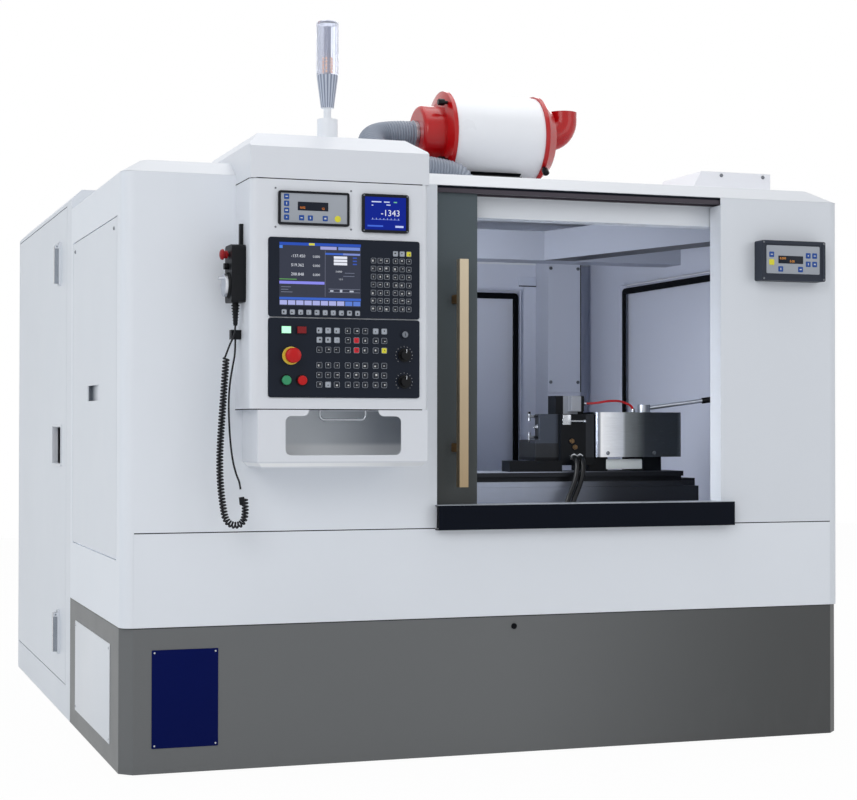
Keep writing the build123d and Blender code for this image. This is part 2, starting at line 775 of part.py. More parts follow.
def sill_and_tracks():
    """Black folded sill, the lower runner behind it and the upper door track."""
    x = (OPENING_LEFT - SILL_LAP_LEFT, OPENING_RIGHT + SILL_LAP_RIGHT)
    front = FRONT - SILL_PROUD
    base = APRON_TOP - SILL_DROP
    runner_front = (DOOR_FRONT + DOOR_REAR - RUNNER_WIDTH) / 2
    profile = [
        (FRONT, base), (front, base), (front, SILL_TOP), (FRONT, SILL_TOP),
        (FRONT, SILL_TOP - SHEET), (front + SHEET, SILL_TOP - SHEET),
        (front + SHEET, base + SHEET), (FRONT, base + SHEET),
    ]
    sill = prism_x(x, profile)
    sill += slab((OPENING_LEFT, OPENING_RIGHT), (FRONT, runner_front), (SILL_TOP - SHEET, SILL_TOP))
    long_x = (LEFT + CORNER + SHEET, OPENING_RIGHT + SILL_LAP_RIGHT)
    runner = slab(long_x, (runner_front, runner_front + RUNNER_WIDTH), (APRON_TOP, SILL_TOP))
    lips = (DOOR_FRONT - TRACK_SIDE - TRACK_LIP, DOOR_REAR + TRACK_SIDE + TRACK_LIP)
    track_x = (LEFT + CORNER, RIGHT - CORNER)
    track = slab(track_x, lips, (SHOULDER_HEIGHT - TRACK_DROP, SHOULDER_HEIGHT))
    track -= slab(
        track_x,
        (DOOR_FRONT - TRACK_SIDE, DOOR_REAR + TRACK_SIDE),
        (SHOULDER_HEIGHT - TRACK_DROP, SHOULDER_HEIGHT - DOOR_TOP_GAP),
    )
    return sill, runner, track


def sliding_door():
    """Tray frame with a rebated window, its glass, and the bar handle on two posts."""
    right = OPENING_LEFT + DOOR_SHOWS
    left = right - DOOR_WIDTH
    z = (SILL_TOP + FIT, SHOULDER_HEIGHT - DOOR_TOP_GAP - FIT)
    y = (DOOR_FRONT, DOOR_REAR)
    window_x = (left + DOOR_RAIL, right - DOOR_STILE)
    window_z = (z[0] + DOOR_RAIL, z[1] - DOOR_RAIL)
    rebate_x = (window_x[0] - DOOR_REBATE, window_x[1] + DOOR_REBATE)
    rebate_z = (window_z[0] - DOOR_REBATE, window_z[1] + DOOR_REBATE)
    frame = slab((left, right), y, z) - slab(window_x, y, window_z)
    back = (DOOR_FRONT + SHEET, DOOR_REAR)
    frame -= slab(rebate_x, back, rebate_z)
    hollow = slab((left + SHEET, right - SHEET), back, (z[0] + SHEET, z[1] - SHEET))
    hollow -= slab(
        (rebate_x[0] - SHEET, rebate_x[1] + SHEET),
        back,
        (rebate_z[0] - SHEET, rebate_z[1] + SHEET),
    )
    frame -= hollow
    glass = slab(
        (rebate_x[0] + SEAM, rebate_x[1] - SEAM),
        (back[0], back[0] + GLASS_THICK),
        (rebate_z[0] + SEAM, rebate_z[1] - SEAM),
    )
    bar_x = right - HANDLE_EDGE
    base = SILL_TOP + HANDLE_RISE
    bar_y = (DOOR_FRONT - HANDLE_STANDOFF - HANDLE_BAR, DOOR_FRONT - HANDLE_STANDOFF)
    bar = slab((bar_x - HANDLE_BAR / 2, bar_x + HANDLE_BAR / 2), bar_y, (base, base + HANDLE_LENGTH))
    for post in (base + HANDLE_POST_INSET, base + HANDLE_LENGTH - HANDLE_POST_INSET):
        bar += rod_y(bar_x, (bar_y[1], DOOR_FRONT), post, HANDLE_POST_RADIUS)
    return frame, glass, bar


def bed_and_pads():
    """T-shaped cast bed, hollow below, with ways, anchor lugs and levelling pads."""
    base = PAD_HEIGHT
    rear_right = REAR_BED_LEFT + BED_REAR_WIDTH
    front_part = slab((BED_LEFT, BED_RIGHT), (BED_FRONT, BED_STEP), (base, BED_TOP))
    rear_part = slab((REAR_BED_LEFT, rear_right), (BED_STEP, BED_REAR), (base, BED_TOP))
    bed = front_part + rear_part
    bed -= slab(
        (BED_LEFT + BED_WALL, BED_RIGHT - BED_WALL),
        (BED_FRONT + BED_WALL, BED_STEP - BED_WALL),
        (base, BED_TOP - BED_WALL),
    )
    bed -= slab(
        (REAR_BED_LEFT + BED_WALL, rear_right - BED_WALL),
        (BED_STEP + BED_WALL, BED_REAR - BED_WALL),
        (base, BED_TOP - BED_WALL),
    )
    for y in table_rails():
        bed += slab((BED_LEFT, BED_RIGHT), (y - RAIL_WIDTH / 2, y + RAIL_WIDTH / 2), (BED_TOP, RAIL_TOP))
    for x in head_rails():
        bed += slab(
            (x - RAIL_WIDTH / 2, x + RAIL_WIDTH / 2),
            (BED_STEP, BED_REAR),
            (BED_TOP, RAIL_TOP),
        )
    middle = (REAR_BED_LEFT + rear_right) / 2
    pads = []
    for x in (middle - ANCHOR_SPACING_X / 2, middle + ANCHOR_SPACING_X / 2):
        for y, inner in ((BED_FRONT - LUG_SIZE / 2, BED_FRONT), (BED_REAR + LUG_SIZE / 2, BED_REAR)):
            bed += slab(
                (x - LUG_SIZE / 2, x + LUG_SIZE / 2),
                span(inner, 2 * y - inner),
                (base, base + LUG_THICK),
            )
            bed -= rod_z(x, y, (base, base + LUG_THICK), ANCHOR_RADIUS)
            pads.append(rod_z(x, y, (0, base), PAD_RADIUS) - rod_z(x, y, (0, base), ANCHOR_RADIUS))
    corner = BED_WALL / 2
    for x in (BED_LEFT + corner, BED_RIGHT - corner):
        pads.append(rod_z(x, (BED_FRONT + BED_STEP) / 2, (0, base), PAD_RADIUS))
    pads.append(rod_z(0, 0, (0, base), PAD_RADIUS))
    rib = slab((-BED_WALL / 2, BED_WALL / 2), (BED_STEP, BED_REAR), (base, BED_TOP))
    return bed + rib, pads


def table_rails():
    """Y places of the two front ways, under the table."""
    return (WORK_Y - SWIVEL_FRONT + RAIL_WIDTH, WORK_Y + SWIVEL_REAR - RAIL_WIDTH / 2)


def head_rails():
    """X places of the two cross ways, under the wheelhead."""
    return (WHEELHEAD_LEFT + RAIL_WIDTH, WHEELHEAD_RIGHT - RAIL_WIDTH)


def table_slide():
    """Lower table, lipped over its ways, with a socket for the pivot and an end clamp at each end."""
    x = (PIVOT_X - SLIDE_LENGTH / 2, PIVOT_X + SLIDE_LENGTH / 2)
    rails = table_rails()
    y = (rails[0] - RAIL_WIDTH / 2 - FIT - RAIL_LIP, rails[1] + RAIL_WIDTH / 2 + FIT + RAIL_LIP)
    top = SWIVEL_BASE - FIT
    body = slab(x, y, (RAIL_TOP - RAIL_LIP, top))
    for rail in rails:
        body -= slab(
            x,
            (rail - RAIL_WIDTH / 2 - FIT, rail + RAIL_WIDTH / 2 + FIT),
            (RAIL_TOP - RAIL_LIP, RAIL_TOP + FIT),
        )
    body -= rod_z(PIVOT_X, WORK_Y, (top - PIVOT_DEPTH - 1, top), PIVOT_RADIUS + RUN)
    return body


def swivel_table():
    """Upper table with a front slot, turning on a pivot in the lower table."""
    x = (PIVOT_X - SWIVEL_LENGTH / 2, PIVOT_X + SWIVEL_LENGTH / 2)
    y = (WORK_Y - SWIVEL_FRONT, WORK_Y + SWIVEL_REAR)
    body = slab(x, y, (SWIVEL_BASE, TABLE_TOP))
    slot = SWIVEL_THICK / 3
    body -= slab(x, (y[0], y[0] + slot), (SWIVEL_BASE + slot, SWIVEL_BASE + 2 * slot))
    body += rod_z(PIVOT_X, WORK_Y, (SWIVEL_BASE - FIT - PIVOT_DEPTH, SWIVEL_BASE), PIVOT_RADIUS)
    return body


def end_clamps():
    """Stepped clamp blocks on the lower table's two ends, beside the swivel table."""
    top = SWIVEL_BASE - FIT
    y = (WORK_Y - SWIVEL_FRONT + RAIL_WIDTH / 2, WORK_Y + SWIVEL_REAR / 2)
    blocks = []
    for side in (-1, 1):
        inner = PIVOT_X + side * (SWIVEL_LENGTH / 2 + SWIVEL_CLEAR)
        outer = PIVOT_X + side * SLIDE_LENGTH / 2
        blocks.append(slab(span(inner, outer), y, (top, top + SWIVEL_THICK / 2)))
    return blocks


def workhead():
    """Workhead casting with a motor box, and the spindle with faceplate and centre."""
    face = PIVOT_X - SWIVEL_LENGTH / 2 + HEAD_MOTOR + HEAD_LENGTH
    back = face - HEAD_LENGTH
    y = (WORK_Y - SWIVEL_FRONT + 10, WORK_Y + SWIVEL_REAR)
    body = slab((back, face), y, (TABLE_TOP, CENTRE_HEIGHT))
    nose_radius = HEAD_TOP * 0.6
    body += rod_x((back, face), WORK_Y, CENTRE_HEIGHT, nose_radius)
    body += slab(
        (back, face),
        (WORK_Y - nose_radius, WORK_Y + SWIVEL_REAR),
        (CENTRE_HEIGHT, CENTRE_HEIGHT + HEAD_TOP),
    )
    body -= rod_x((back, face), WORK_Y, CENTRE_HEIGHT, SPINDLE_RADIUS + RUN)
    motor = slab((back - HEAD_MOTOR + 10, back), y, (TABLE_TOP, CENTRE_HEIGHT + HEAD_TOP * 0.8))
    nose = face + FIT
    plate = (nose, nose + FACEPLATE_THICK)
    spindle = rod_x((back + FIT, nose), WORK_Y, CENTRE_HEIGHT, SPINDLE_RADIUS)
    spindle += rod_x(plate, WORK_Y, CENTRE_HEIGHT, FACEPLATE_RADIUS)
    taper = CENTRE_RADIUS / tan(radians(CENTRE_ANGLE))
    spindle += rod_x((plate[1], plate[1] + CENTRE_LENGTH), WORK_Y, CENTRE_HEIGHT, CENTRE_RADIUS)
    tip = (plate[1] + CENTRE_LENGTH, plate[1] + CENTRE_LENGTH + taper)
    spindle += cone_x(tip, WORK_Y, CENTRE_HEIGHT, CENTRE_RADIUS, 0)
    driver_y = WORK_Y - FACEPLATE_RADIUS * 0.65
    driver = (plate[1], plate[1] + CENTRE_LENGTH * 0.8)
    spindle += rod_x(driver, driver_y, CENTRE_HEIGHT, PIN_BAR_RADIUS * 1.5)
    return body, motor, spindle


def tailstock():
    """Tailstock on two feet: body, front plates, clamp pins, dresser on top; and its quill."""
    tip = OPENING_LEFT + TAIL_TIP
    start = tip + TAIL_BODY_GAP
    cover = cover_span()
    foot_top = TABLE_TOP + TAIL_FOOT_HEIGHT
    y = (WORK_Y - TAIL_BODY_WIDTH / 2, WORK_Y + TAIL_BODY_WIDTH / 2)
    top = foot_top + COVER_HEIGHT - 3 * COVER_SHEET
    end = cover[1] - TAIL_BODY_END
    body = slab((start, end), y, (foot_top, top))
    foot_x = cover[0] - 14
    foot_y = (WORK_Y - SWIVEL_FRONT + 30, WORK_Y + SWIVEL_REAR)
    for x in (foot_x, foot_x + TAIL_FOOT + TAIL_FOOT_GAP):
        body += slab((x, x + TAIL_FOOT), foot_y, (TABLE_TOP, foot_top))
    body += slab(
        (tip - LOWER_BLOCK_LEAD, tip + LOWER_BLOCK_END),
        (y[0] - TAIL_LIP, y[1]),
        (foot_top - LOWER_BLOCK_DROP, CENTRE_HEIGHT - TAIL_PLATE_LOW),
    )
    body -= rod_x((start, end - COVER_SHEET), WORK_Y, CENTRE_HEIGHT, QUILL_RADIUS + RUN)
    body -= rod_z(tip + LEVER_FROM_TIP, WORK_Y, (CENTRE_HEIGHT, top), LEVER_SHAFT_RADIUS + RUN)
    plate_z = (CENTRE_HEIGHT - TAIL_PLATE_LOW, CENTRE_HEIGHT + TAIL_PLATE_HIGH)
    plate = slab((tip - TAIL_PLATE_LEAD, tip + TAIL_PLATE_END), (y[0] - TAIL_LIP, y[0]), plate_z)
    valve = slab(
        (tip + TAIL_PLATE_END, cover[0] - COVER_SHEET),
        (y[0] - VALVE_DEPTH, y[0]),
        (foot_top - VALVE_DROP, plate_z[1]),
    )
    low_y = WORK_Y - SWIVEL_FRONT + LOW_BLOCK_EDGE
    low_block = slab(
        (tip - LOW_BLOCK_LEAD, tip + LOW_BLOCK_END),
        (low_y, low_y + LOW_BLOCK_DEPTH),
        (TABLE_TOP, foot_top - LOWER_BLOCK_DROP),
    )
    pins = []
    pin_y = WORK_Y - PIN_SETBACK
    bar_x = tip - PIN_LEAD + PIN_BAR_RADIUS
    for z in (CENTRE_HEIGHT + PIN_UPPER, CENTRE_HEIGHT - PIN_LOWER):
        pin = rod_x((tip - PIN_LEAD, start), pin_y, z, PIN_BAR_RADIUS)
        pin += rod_z(bar_x, pin_y, (z - PIN_BAR_LENGTH / 2, z + PIN_BAR_LENGTH / 2), PIN_BAR_RADIUS)
        pins.append(pin)
    dresser = slab(
        (tip + DRESSER_START, tip + DRESSER_START + DRESSER_LENGTH),
        (WORK_Y - DRESSER_HALF, WORK_Y + DRESSER_HALF),
        (top, top + DRESSER_HEIGHT),
    )
    holder = slab(
        (tip + HOLDER_START, tip + HOLDER_START + HOLDER_LENGTH),
        (WORK_Y - DRESSER_HALF - DRESSER_HOLDER, WORK_Y - DRESSER_HALF),
        (top + HOLDER_LIFT, top + HOLDER_LIFT + HOLDER_HEIGHT),
    )
    taper = CENTRE_RADIUS / tan(radians(CENTRE_ANGLE))
    quill = rod_x((tip + taper, tip + QUILL_LENGTH), WORK_Y, CENTRE_HEIGHT, QUILL_RADIUS)
    quill -= rod_x((tip + taper, tip + taper + 6), WORK_Y, CENTRE_HEIGHT, QUILL_RADIUS)
    quill += rod_x((tip + taper, tip + taper + 6), WORK_Y, CENTRE_HEIGHT, CENTRE_RADIUS)
    quill += cone_x((tip + taper, tip), WORK_Y, CENTRE_HEIGHT, CENTRE_RADIUS, 0)
    body -= rod_x((tip - 30, start), WORK_Y, CENTRE_HEIGHT, QUILL_RADIUS + 4)
    return (body, plate, valve, low_block, *pins), (dresser, holder), quill


def cover_span():
    """X limits of the tailstock's steel cover."""
    start = OPENING_LEFT + TAIL_TIP + COVER_START
    return (start, start + COVER_LENGTH)


def tailstock_cover():
    """Bent steel cover over the tailstock, open below and on its left end, holed for the lever shaft."""
    x = cover_span()
    y = (WORK_Y - COVER_DEPTH / 2, WORK_Y + COVER_DEPTH / 2)
    z = (TABLE_TOP + TAIL_FOOT_HEIGHT, TABLE_TOP + TAIL_FOOT_HEIGHT + COVER_HEIGHT)
    shell = slab(x, y, z)
    shell = fillet(shell.edges().filter_by(Axis.Z), 22)
    inner = slab(
        (x[0] + COVER_SHEET, x[1] - COVER_SHEET),
        (y[0] + COVER_SHEET, y[1] - COVER_SHEET),
        (z[0], z[1] - COVER_SHEET),
    )
    inner = fillet(inner.edges().filter_by(Axis.Z), 22 - COVER_SHEET)
    half = TAIL_BODY_WIDTH / 2 + 1
    doorway = slab((x[0], x[0] + 24), (WORK_Y - half, WORK_Y + half), (z[0], z[1] - 2 * COVER_SHEET))
    hub = OPENING_LEFT + TAIL_TIP + LEVER_FROM_TIP
    return shell - inner - doorway - rod_z(hub, WORK_Y, z, LEVER_SHAFT_RADIUS + 1)


def quill_lever():
    """Hand lever: hub on a vertical shaft, rod, and black grip."""
    hub_x = OPENING_LEFT + TAIL_TIP + LEVER_FROM_TIP
    cover_top = TABLE_TOP + TAIL_FOOT_HEIGHT + COVER_HEIGHT
    hub = rod_z(hub_x, WORK_Y, (cover_top + FIT, cover_top + LEVER_HUB_HEIGHT), LEVER_HUB_RADIUS)
    shaft_base = CENTRE_HEIGHT + QUILL_RADIUS + 2 * FIT
    hub += rod_z(hub_x, WORK_Y, (shaft_base, cover_top + FIT), LEVER_SHAFT_RADIUS)
    start = Vector(hub_x, WORK_Y, cover_top + LEVER_HUB_HEIGHT / 2)
    turn = radians(LEVER_ANGLE)
    end = start + Vector(LEVER_REACH * cos(turn), LEVER_REACH * sin(turn), LEVER_RISE)
    along = (end - start).normalized()
    grip_start = end - along * LEVER_GRIP_LENGTH
    rod_plane = Plane(origin=start, z_dir=along)
    rod = extrude(rod_plane * Circle(LEVER_ROD_RADIUS), (grip_start - start).length)
    grip = extrude(Plane(origin=grip_start, z_dir=along) * Circle(LEVER_GRIP_RADIUS), LEVER_GRIP_LENGTH)
    return hub + rod + grip


def bent_tube(points, radius, shares=0.45):
    """Tube along straight runs joined by arcs as large as the runs allow; prints its radii."""
    places = [Vector(*point) for point in points]
    radii = []
    for before, here, after in zip(places, places[1:], places[2:]):
        turn = radians((here - before).get_angle(after - here))
        shorter = min((here - before).length, (after - here).length)
        radii.append(shares * shorter / tan(turn / 2))
    path = FilletPolyline(*points, radius=radii)
    section = Plane(origin=places[0], z_dir=places[1] - places[0]) * Circle(radius)
    tube = sweep(section, path=path)
    ratio = tube.volume / (pi * radius**2 * path.length)
    print("tube radii", [round(r, 1) for r in radii])
    print("tube length", round(path.length, 1), "volume ratio", round(ratio, 4))
    return tube


def tailstock_hoses():
    """Two black drain hoses from the valve block past the table, and the red air hose over the cover."""
    tip = OPENING_LEFT + TAIL_TIP
    valve_y = WORK_Y - TAIL_BODY_WIDTH / 2 - VALVE_DEPTH
    top = TABLE_TOP + TAIL_FOOT_HEIGHT
    hoses = []
    for shift in (0, 2 * DRAIN_HOSE_RADIUS + 3):
        x = tip + 92 + shift
        hoses.append(bent_tube([
            (x, valve_y, top),
            (x, valve_y - 20, top),
            (x - 2, valve_y - 38, top - 11),
            (x - 5, valve_y - 47, top - 34),
            (x - 14, valve_y - 54, top - 66),
            (x - 30, valve_y - 63, top - 96),
            (x - 46, valve_y - 71, top - 124),
            (x - 56, valve_y - 76, top - 152),
        ], DRAIN_HOSE_RADIUS))
    cover_top = top + COVER_HEIGHT
    air_y = WORK_Y - DRESSER_HALF - DRESSER_HOLDER / 2
    hoses.append(bent_tube([
        (tip + 142, air_y, cover_top + 26),
        (tip + 180, air_y, cover_top + 26),
        (tip + 224, air_y + 2, cover_top + 34),
        (tip + 268, air_y + 6, cover_top + 35),
        (tip + 302, air_y + 9, cover_top + 24),
        (tip + 302 + 12, air_y + 10, cover_top + 12),
        (tip + 302 + 12, air_y + 10, cover_top),
    ], AIR_HOSE_RADIUS))
    return hoses


def wheelhead():
    """Wheelhead casting on its cross ways, wheel guard, motor and belt cover."""
    x = (WHEELHEAD_LEFT, WHEELHEAD_RIGHT)
    y = (WHEELHEAD_FRONT, WHEELHEAD_FRONT + WHEELHEAD_LENGTH)
    body = slab(x, y, (RAIL_TOP - RAIL_LIP, WHEELHEAD_TOP))
    for rail in head_rails():
        body -= slab(
            (rail - RAIL_WIDTH / 2 - FIT, rail + RAIL_WIDTH / 2 + FIT),
            y,
            (RAIL_TOP - RAIL_LIP, RAIL_TOP + FIT),
        )
    body += slab(x, (WHEEL_Y - HOUSING_RADIUS, WHEEL_Y + HOUSING_RADIUS), (WHEELHEAD_TOP, CENTRE_HEIGHT))
    body += rod_x(x, WHEEL_Y, CENTRE_HEIGHT, HOUSING_RADIUS)
    body -= rod_x(x, WHEEL_Y, CENTRE_HEIGHT, WHEEL_SHAFT_RADIUS + RUN)
    motor_y = y[1] - WHEEL_MOTOR_RADIUS - 20
    motor_z = WHEELHEAD_TOP + WHEEL_MOTOR_RADIUS + 16
    motor = rod_x(x, motor_y, motor_z, WHEEL_MOTOR_RADIUS)
    motor += slab(x, (motor_y - 60, motor_y + 60), (WHEELHEAD_TOP, motor_z))
    belt_x = (WHEELHEAD_LEFT - BELT_COVER, WHEELHEAD_LEFT)
    belt_y = (WHEEL_Y - HOUSING_RADIUS, motor_y + WHEEL_MOTOR_RADIUS)
    belt_z = (CENTRE_HEIGHT - HOUSING_RADIUS, CENTRE_HEIGHT + HOUSING_RADIUS)
    belt = slab(belt_x, belt_y, belt_z)
    belt -= slab(
        (belt_x[0] + SHEET, belt_x[1]),
        (belt_y[0] + SHEET, belt_y[1] - SHEET),
        (belt_z[0] + SHEET, belt_z[1] - SHEET),
    )
    return body, motor, belt, wheel_guard()


def wheel_guard():
    """Hood round the wheel, open in front, bolted to the spindle housing's right end."""
    inner = WHEEL_RADIUS + GUARD_GAP
    outer = inner + GUARD_SHEET
    x = (WHEELHEAD_RIGHT, WHEEL_X + WHEEL_WIDTH / 2 + WHEEL_FLANGE_THICK + GUARD_SIDE_GAP)
    hood = rod_x(x, WHEEL_Y, CENTRE_HEIGHT, outer)
    hood -= rod_x((x[0] + GUARD_SHEET, x[1] - GUARD_SHEET), WHEEL_Y, CENTRE_HEIGHT, inner)
    hood -= rod_x((x[0], x[0] + GUARD_SHEET), WHEEL_Y, CENTRE_HEIGHT, WHEEL_SHAFT_RADIUS + 2)
    reach = WHEEL_RADIUS * 0.55
    mouth = slab(
        x,
        (WHEEL_Y - 2 * outer, WHEEL_Y - reach),
        (CENTRE_HEIGHT - 2 * outer, CENTRE_HEIGHT + reach),
    )
    return hood - mouth


def grinding_wheel():
    """Wheel between two flanges on its spindle, which runs through the housing to a pulley."""
    x = (WHEEL_X - WHEEL_WIDTH / 2, WHEEL_X + WHEEL_WIDTH / 2)
    wheel = rod_x(x, WHEEL_Y, CENTRE_HEIGHT, WHEEL_RADIUS)
    wheel -= rod_x(x, WHEEL_Y, CENTRE_HEIGHT, WHEEL_SHAFT_RADIUS)
    end = WHEELHEAD_LEFT - BELT_COVER + SHEET + 4
    spindle = rod_x((end, x[1]), WHEEL_Y, CENTRE_HEIGHT, WHEEL_SHAFT_RADIUS)
    for side in ((x[0] - WHEEL_FLANGE_THICK, x[0]), (x[1], x[1] + WHEEL_FLANGE_THICK)):
        spindle += rod_x(side, WHEEL_Y, CENTRE_HEIGHT, WHEEL_FLANGE_RADIUS)
    spindle += rod_x((end, WHEELHEAD_LEFT - 6), WHEEL_Y, CENTRE_HEIGHT, WHEEL_PULLEY_RADIUS)
    return wheel, spindle


def slanted_beam(y, z):
    """Sheet beam under the roof, open above, that runs aslant from the header back to the rear beam."""
    front, rear = RIGHT - SIDE_BULKHEAD_FRONT, RIGHT - SIDE_BULKHEAD_REAR

    def block(inset, base):
        width = SIDE_BULKHEAD_WIDTH - inset
        plan = Polyline(
            (front + inset, y[0] + inset, base), (front + width, y[0] + inset, base),
            (rear + width, y[1] - inset, base), (rear + inset, y[1] - inset, base), close=True,
        )
        return extrude(make_face(plan), z[1] - base, dir=(0, 0, 1))

    return block(0, z[0]) - block(SHEET, z[0] + SHEET)


def chamber_liner():
    """Floor tray round the bed, header and beams under the roof, corner column and its cover plate."""
    place = Pos(0, (FRONT + CHAMBER_REAR) / 2, FLOOR_HEIGHT)
    inset = SHEET + SEAM
    plate = RectangleRounded(WIDTH - 2 * inset, CHAMBER_DEPTH - 2 * inset, CORNER - SHEET)
    floor = place * extrude(plate, SHEET)
    level = (FLOOR_HEIGHT, FLOOR_HEIGHT + SHEET)
    floor -= cabinet_zone(level)
    floor -= slab((BED_LEFT, BED_RIGHT), (BED_FRONT, BED_STEP), level)
    floor -= slab((REAR_BED_LEFT, REAR_BED_LEFT + BED_REAR_WIDTH), (BED_STEP, BED_REAR), level)
    header_front = DOOR_REAR + TRACK_SIDE + TRACK_LIP
    header = trough(
        (LEFT + SHEET, RIGHT - SHEET),
        (header_front, header_front + HEADER_DEPTH),
        (SHOULDER_HEIGHT - HEADER_DROP, SHOULDER_HEIGHT),
    )
    beam_y = (FRONT + BULKHEAD_FROM_FRONT, FRONT + BULKHEAD_FROM_FRONT + BULKHEAD_DEPTH)
    beam_z = (SHOULDER_HEIGHT - BULKHEAD_DROP, SHOULDER_HEIGHT)
    rear_beam = trough((CABINET_RIGHT, RIGHT - SHEET), beam_y, beam_z)
    side_beam = slanted_beam((header_front + HEADER_DEPTH, beam_y[0]), beam_z)
    rear_y = (CHAMBER_REAR - SHEET - COLUMN_DEPTH, CHAMBER_REAR - SHEET)
    column_x = (RIGHT - COLUMN_FROM_RIGHT - COLUMN_WIDTH, RIGHT - COLUMN_FROM_RIGHT)
    column = trough(column_x, rear_y, (level[1], SHOULDER_HEIGHT))
    cover = slab(
        column_x,
        (rear_y[0] - COVER_PLATE, rear_y[0]),
        (level[1] + COVER_PLATE_RISE, SHOULDER_HEIGHT - COVER_PLATE_DROP),
    )
    return floor, header, rear_beam, side_beam, column, cover


def cabinet():
    """Electrical cabinet shell with its cable gland, and the door with latch plates and isolator window."""
    x = (LEFT, CABINET_RIGHT)
    y = (CABINET_FRONT, REAR)
    z = (PLINTH_LIFT, CABINET_HEIGHT)
    bevel = CABINET_BEVEL
    outline = [(x[0], z[0]), (x[1], z[0]), (x[1], z[1]), (x[0] + bevel, z[1]), (x[0], z[1] - bevel)]
    shell = prism_y(y, outline)
    shell -= prism_x(x, [(y[1], z[1] - bevel), (y[1], z[1]), (y[1] - bevel, z[1])])
    roof = z[1] - SHEET - bevel
    shell -= slab((x[0] + SHEET, x[1] - SHEET), (y[0] + SHEET, y[1] - SHEET), (z[0] + SHEET, roof))
    shell -= slab(
        (x[0] + bevel, x[1] - SHEET),
        (y[0] + SHEET, y[1] - bevel),
        (roof, z[1] - SHEET),
    )
    hinge_y = REAR - CABINET_HINGE_INSET
    free_y = CABINET_FRONT + CABINET_DOOR_INSET
    door, opening, brackets, bores = hinged_door(LEFT, 1, hinge_y, free_y, (CABINET_KICK, CABINET_DOOR_TOP))
    shell = hang(shell, opening, brackets, bores)
    gland_x = (x[0] + x[1]) / 2
    gland = (y[1] - SHEET, y[1] + GLAND_LENGTH)
    shell += rod_y(gland_x, gland, 2 * CABINET_KICK, GLAND_RADIUS + GLAND_WALL)
    shell -= rod_y(gland_x, gland, 2 * CABINET_KICK, GLAND_RADIUS)
    switch_y = CABINET_FRONT + ISOLATOR_FROM_FRONT
    half = ISOLATOR_WINDOW_WIDTH / 2
    window_z = (ISOLATOR_HEIGHT - ISOLATOR_WINDOW_HEIGHT / 2, ISOLATOR_HEIGHT + ISOLATOR_WINDOW_HEIGHT / 2)
    rim = slab(
        (LEFT, LEFT + TRAY_DEPTH),
        (switch_y - half - SHEET, switch_y + half + SHEET),
        (window_z[0] - SHEET, window_z[1] + SHEET),
    )
    door = door + rim - slab((LEFT, LEFT + TRAY_DEPTH), (switch_y - half, switch_y + half), window_z)
    for height in (UPPER_LATCH_HEIGHT, LOWER_LATCH_HEIGHT):
        door += latch_plate(free_y + LATCH_FROM_EDGE, height)
    return shell, door


def latch_plate(y, z):
    """Latch dish on the cabinet door: a grooved plate with two ears for the lever's pin."""
    plate = slab(
        (LEFT - LATCH_PLATE, LEFT),
        (y - LATCH_WIDTH / 2, y + LATCH_WIDTH / 2),
        (z - LATCH_LENGTH / 2, z + LATCH_LENGTH / 2),
    )
    pin = latch_pin(z)
    ear = LATCH_PIN_STANDOFF + 2 * LATCH_PIN_RADIUS
    groove = LATCH_LEVER / 2 + FIT
    for side in (-1, 1):
        plate += slab(
            (LEFT - ear, LEFT - LATCH_PLATE),
            span(y + side * groove, y + side * LATCH_WIDTH / 2),
            (pin[1] - 2 * LATCH_PIN_RADIUS, pin[1] + 2 * LATCH_PIN_RADIUS),
        )
    plate -= slab(
        (LEFT - LATCH_PLATE, LEFT),
        (y - groove, y + groove),
        (z - LATCH_LENGTH / 2 + SHEET, z + LATCH_LENGTH / 2 - SHEET),
    )
    bore = (y - LATCH_WIDTH / 2, y + LATCH_WIDTH / 2)
    return plate - Pos(pin[0], 0, 0) * rod_y(0, bore, pin[1], LATCH_PIN_RADIUS + RUN)


def latch_pin(z):
    """X and Z of a latch lever's pin."""
    return (LEFT - LATCH_PIN_STANDOFF, z + LATCH_LENGTH / 2 - 5 * LATCH_PIN_RADIUS)


def latch_lever(z):
    """Swing lever of a cabinet latch, on its cross pin."""
    y = CABINET_FRONT + CABINET_DOOR_INSET + LATCH_FROM_EDGE
    pin = latch_pin(z)
    lever = slab(
        (pin[0] - LATCH_LEVER_DEPTH / 2, pin[0] + LATCH_LEVER_DEPTH / 2),
        (y - LATCH_LEVER / 2, y + LATCH_LEVER / 2),
        (z - LATCH_LENGTH / 2 + 2 * SHEET, pin[1]),
    )
    lever += rod_y(pin[0], (y - LATCH_LEVER / 2, y + LATCH_LEVER / 2), pin[1], LATCH_LEVER_DEPTH / 2)
    lever += rod_y(pin[0], (y - LATCH_WIDTH / 2, y + LATCH_WIDTH / 2), pin[1], LATCH_PIN_RADIUS)
    return lever


def isolator_place():
    """Face of the isolator body, and the lever's axis."""
    return LEFT + TRAY_DEPTH + ISOLATOR_RECESS, CABINET_FRONT + ISOLATOR_FROM_FRONT, ISOLATOR_HEIGHT


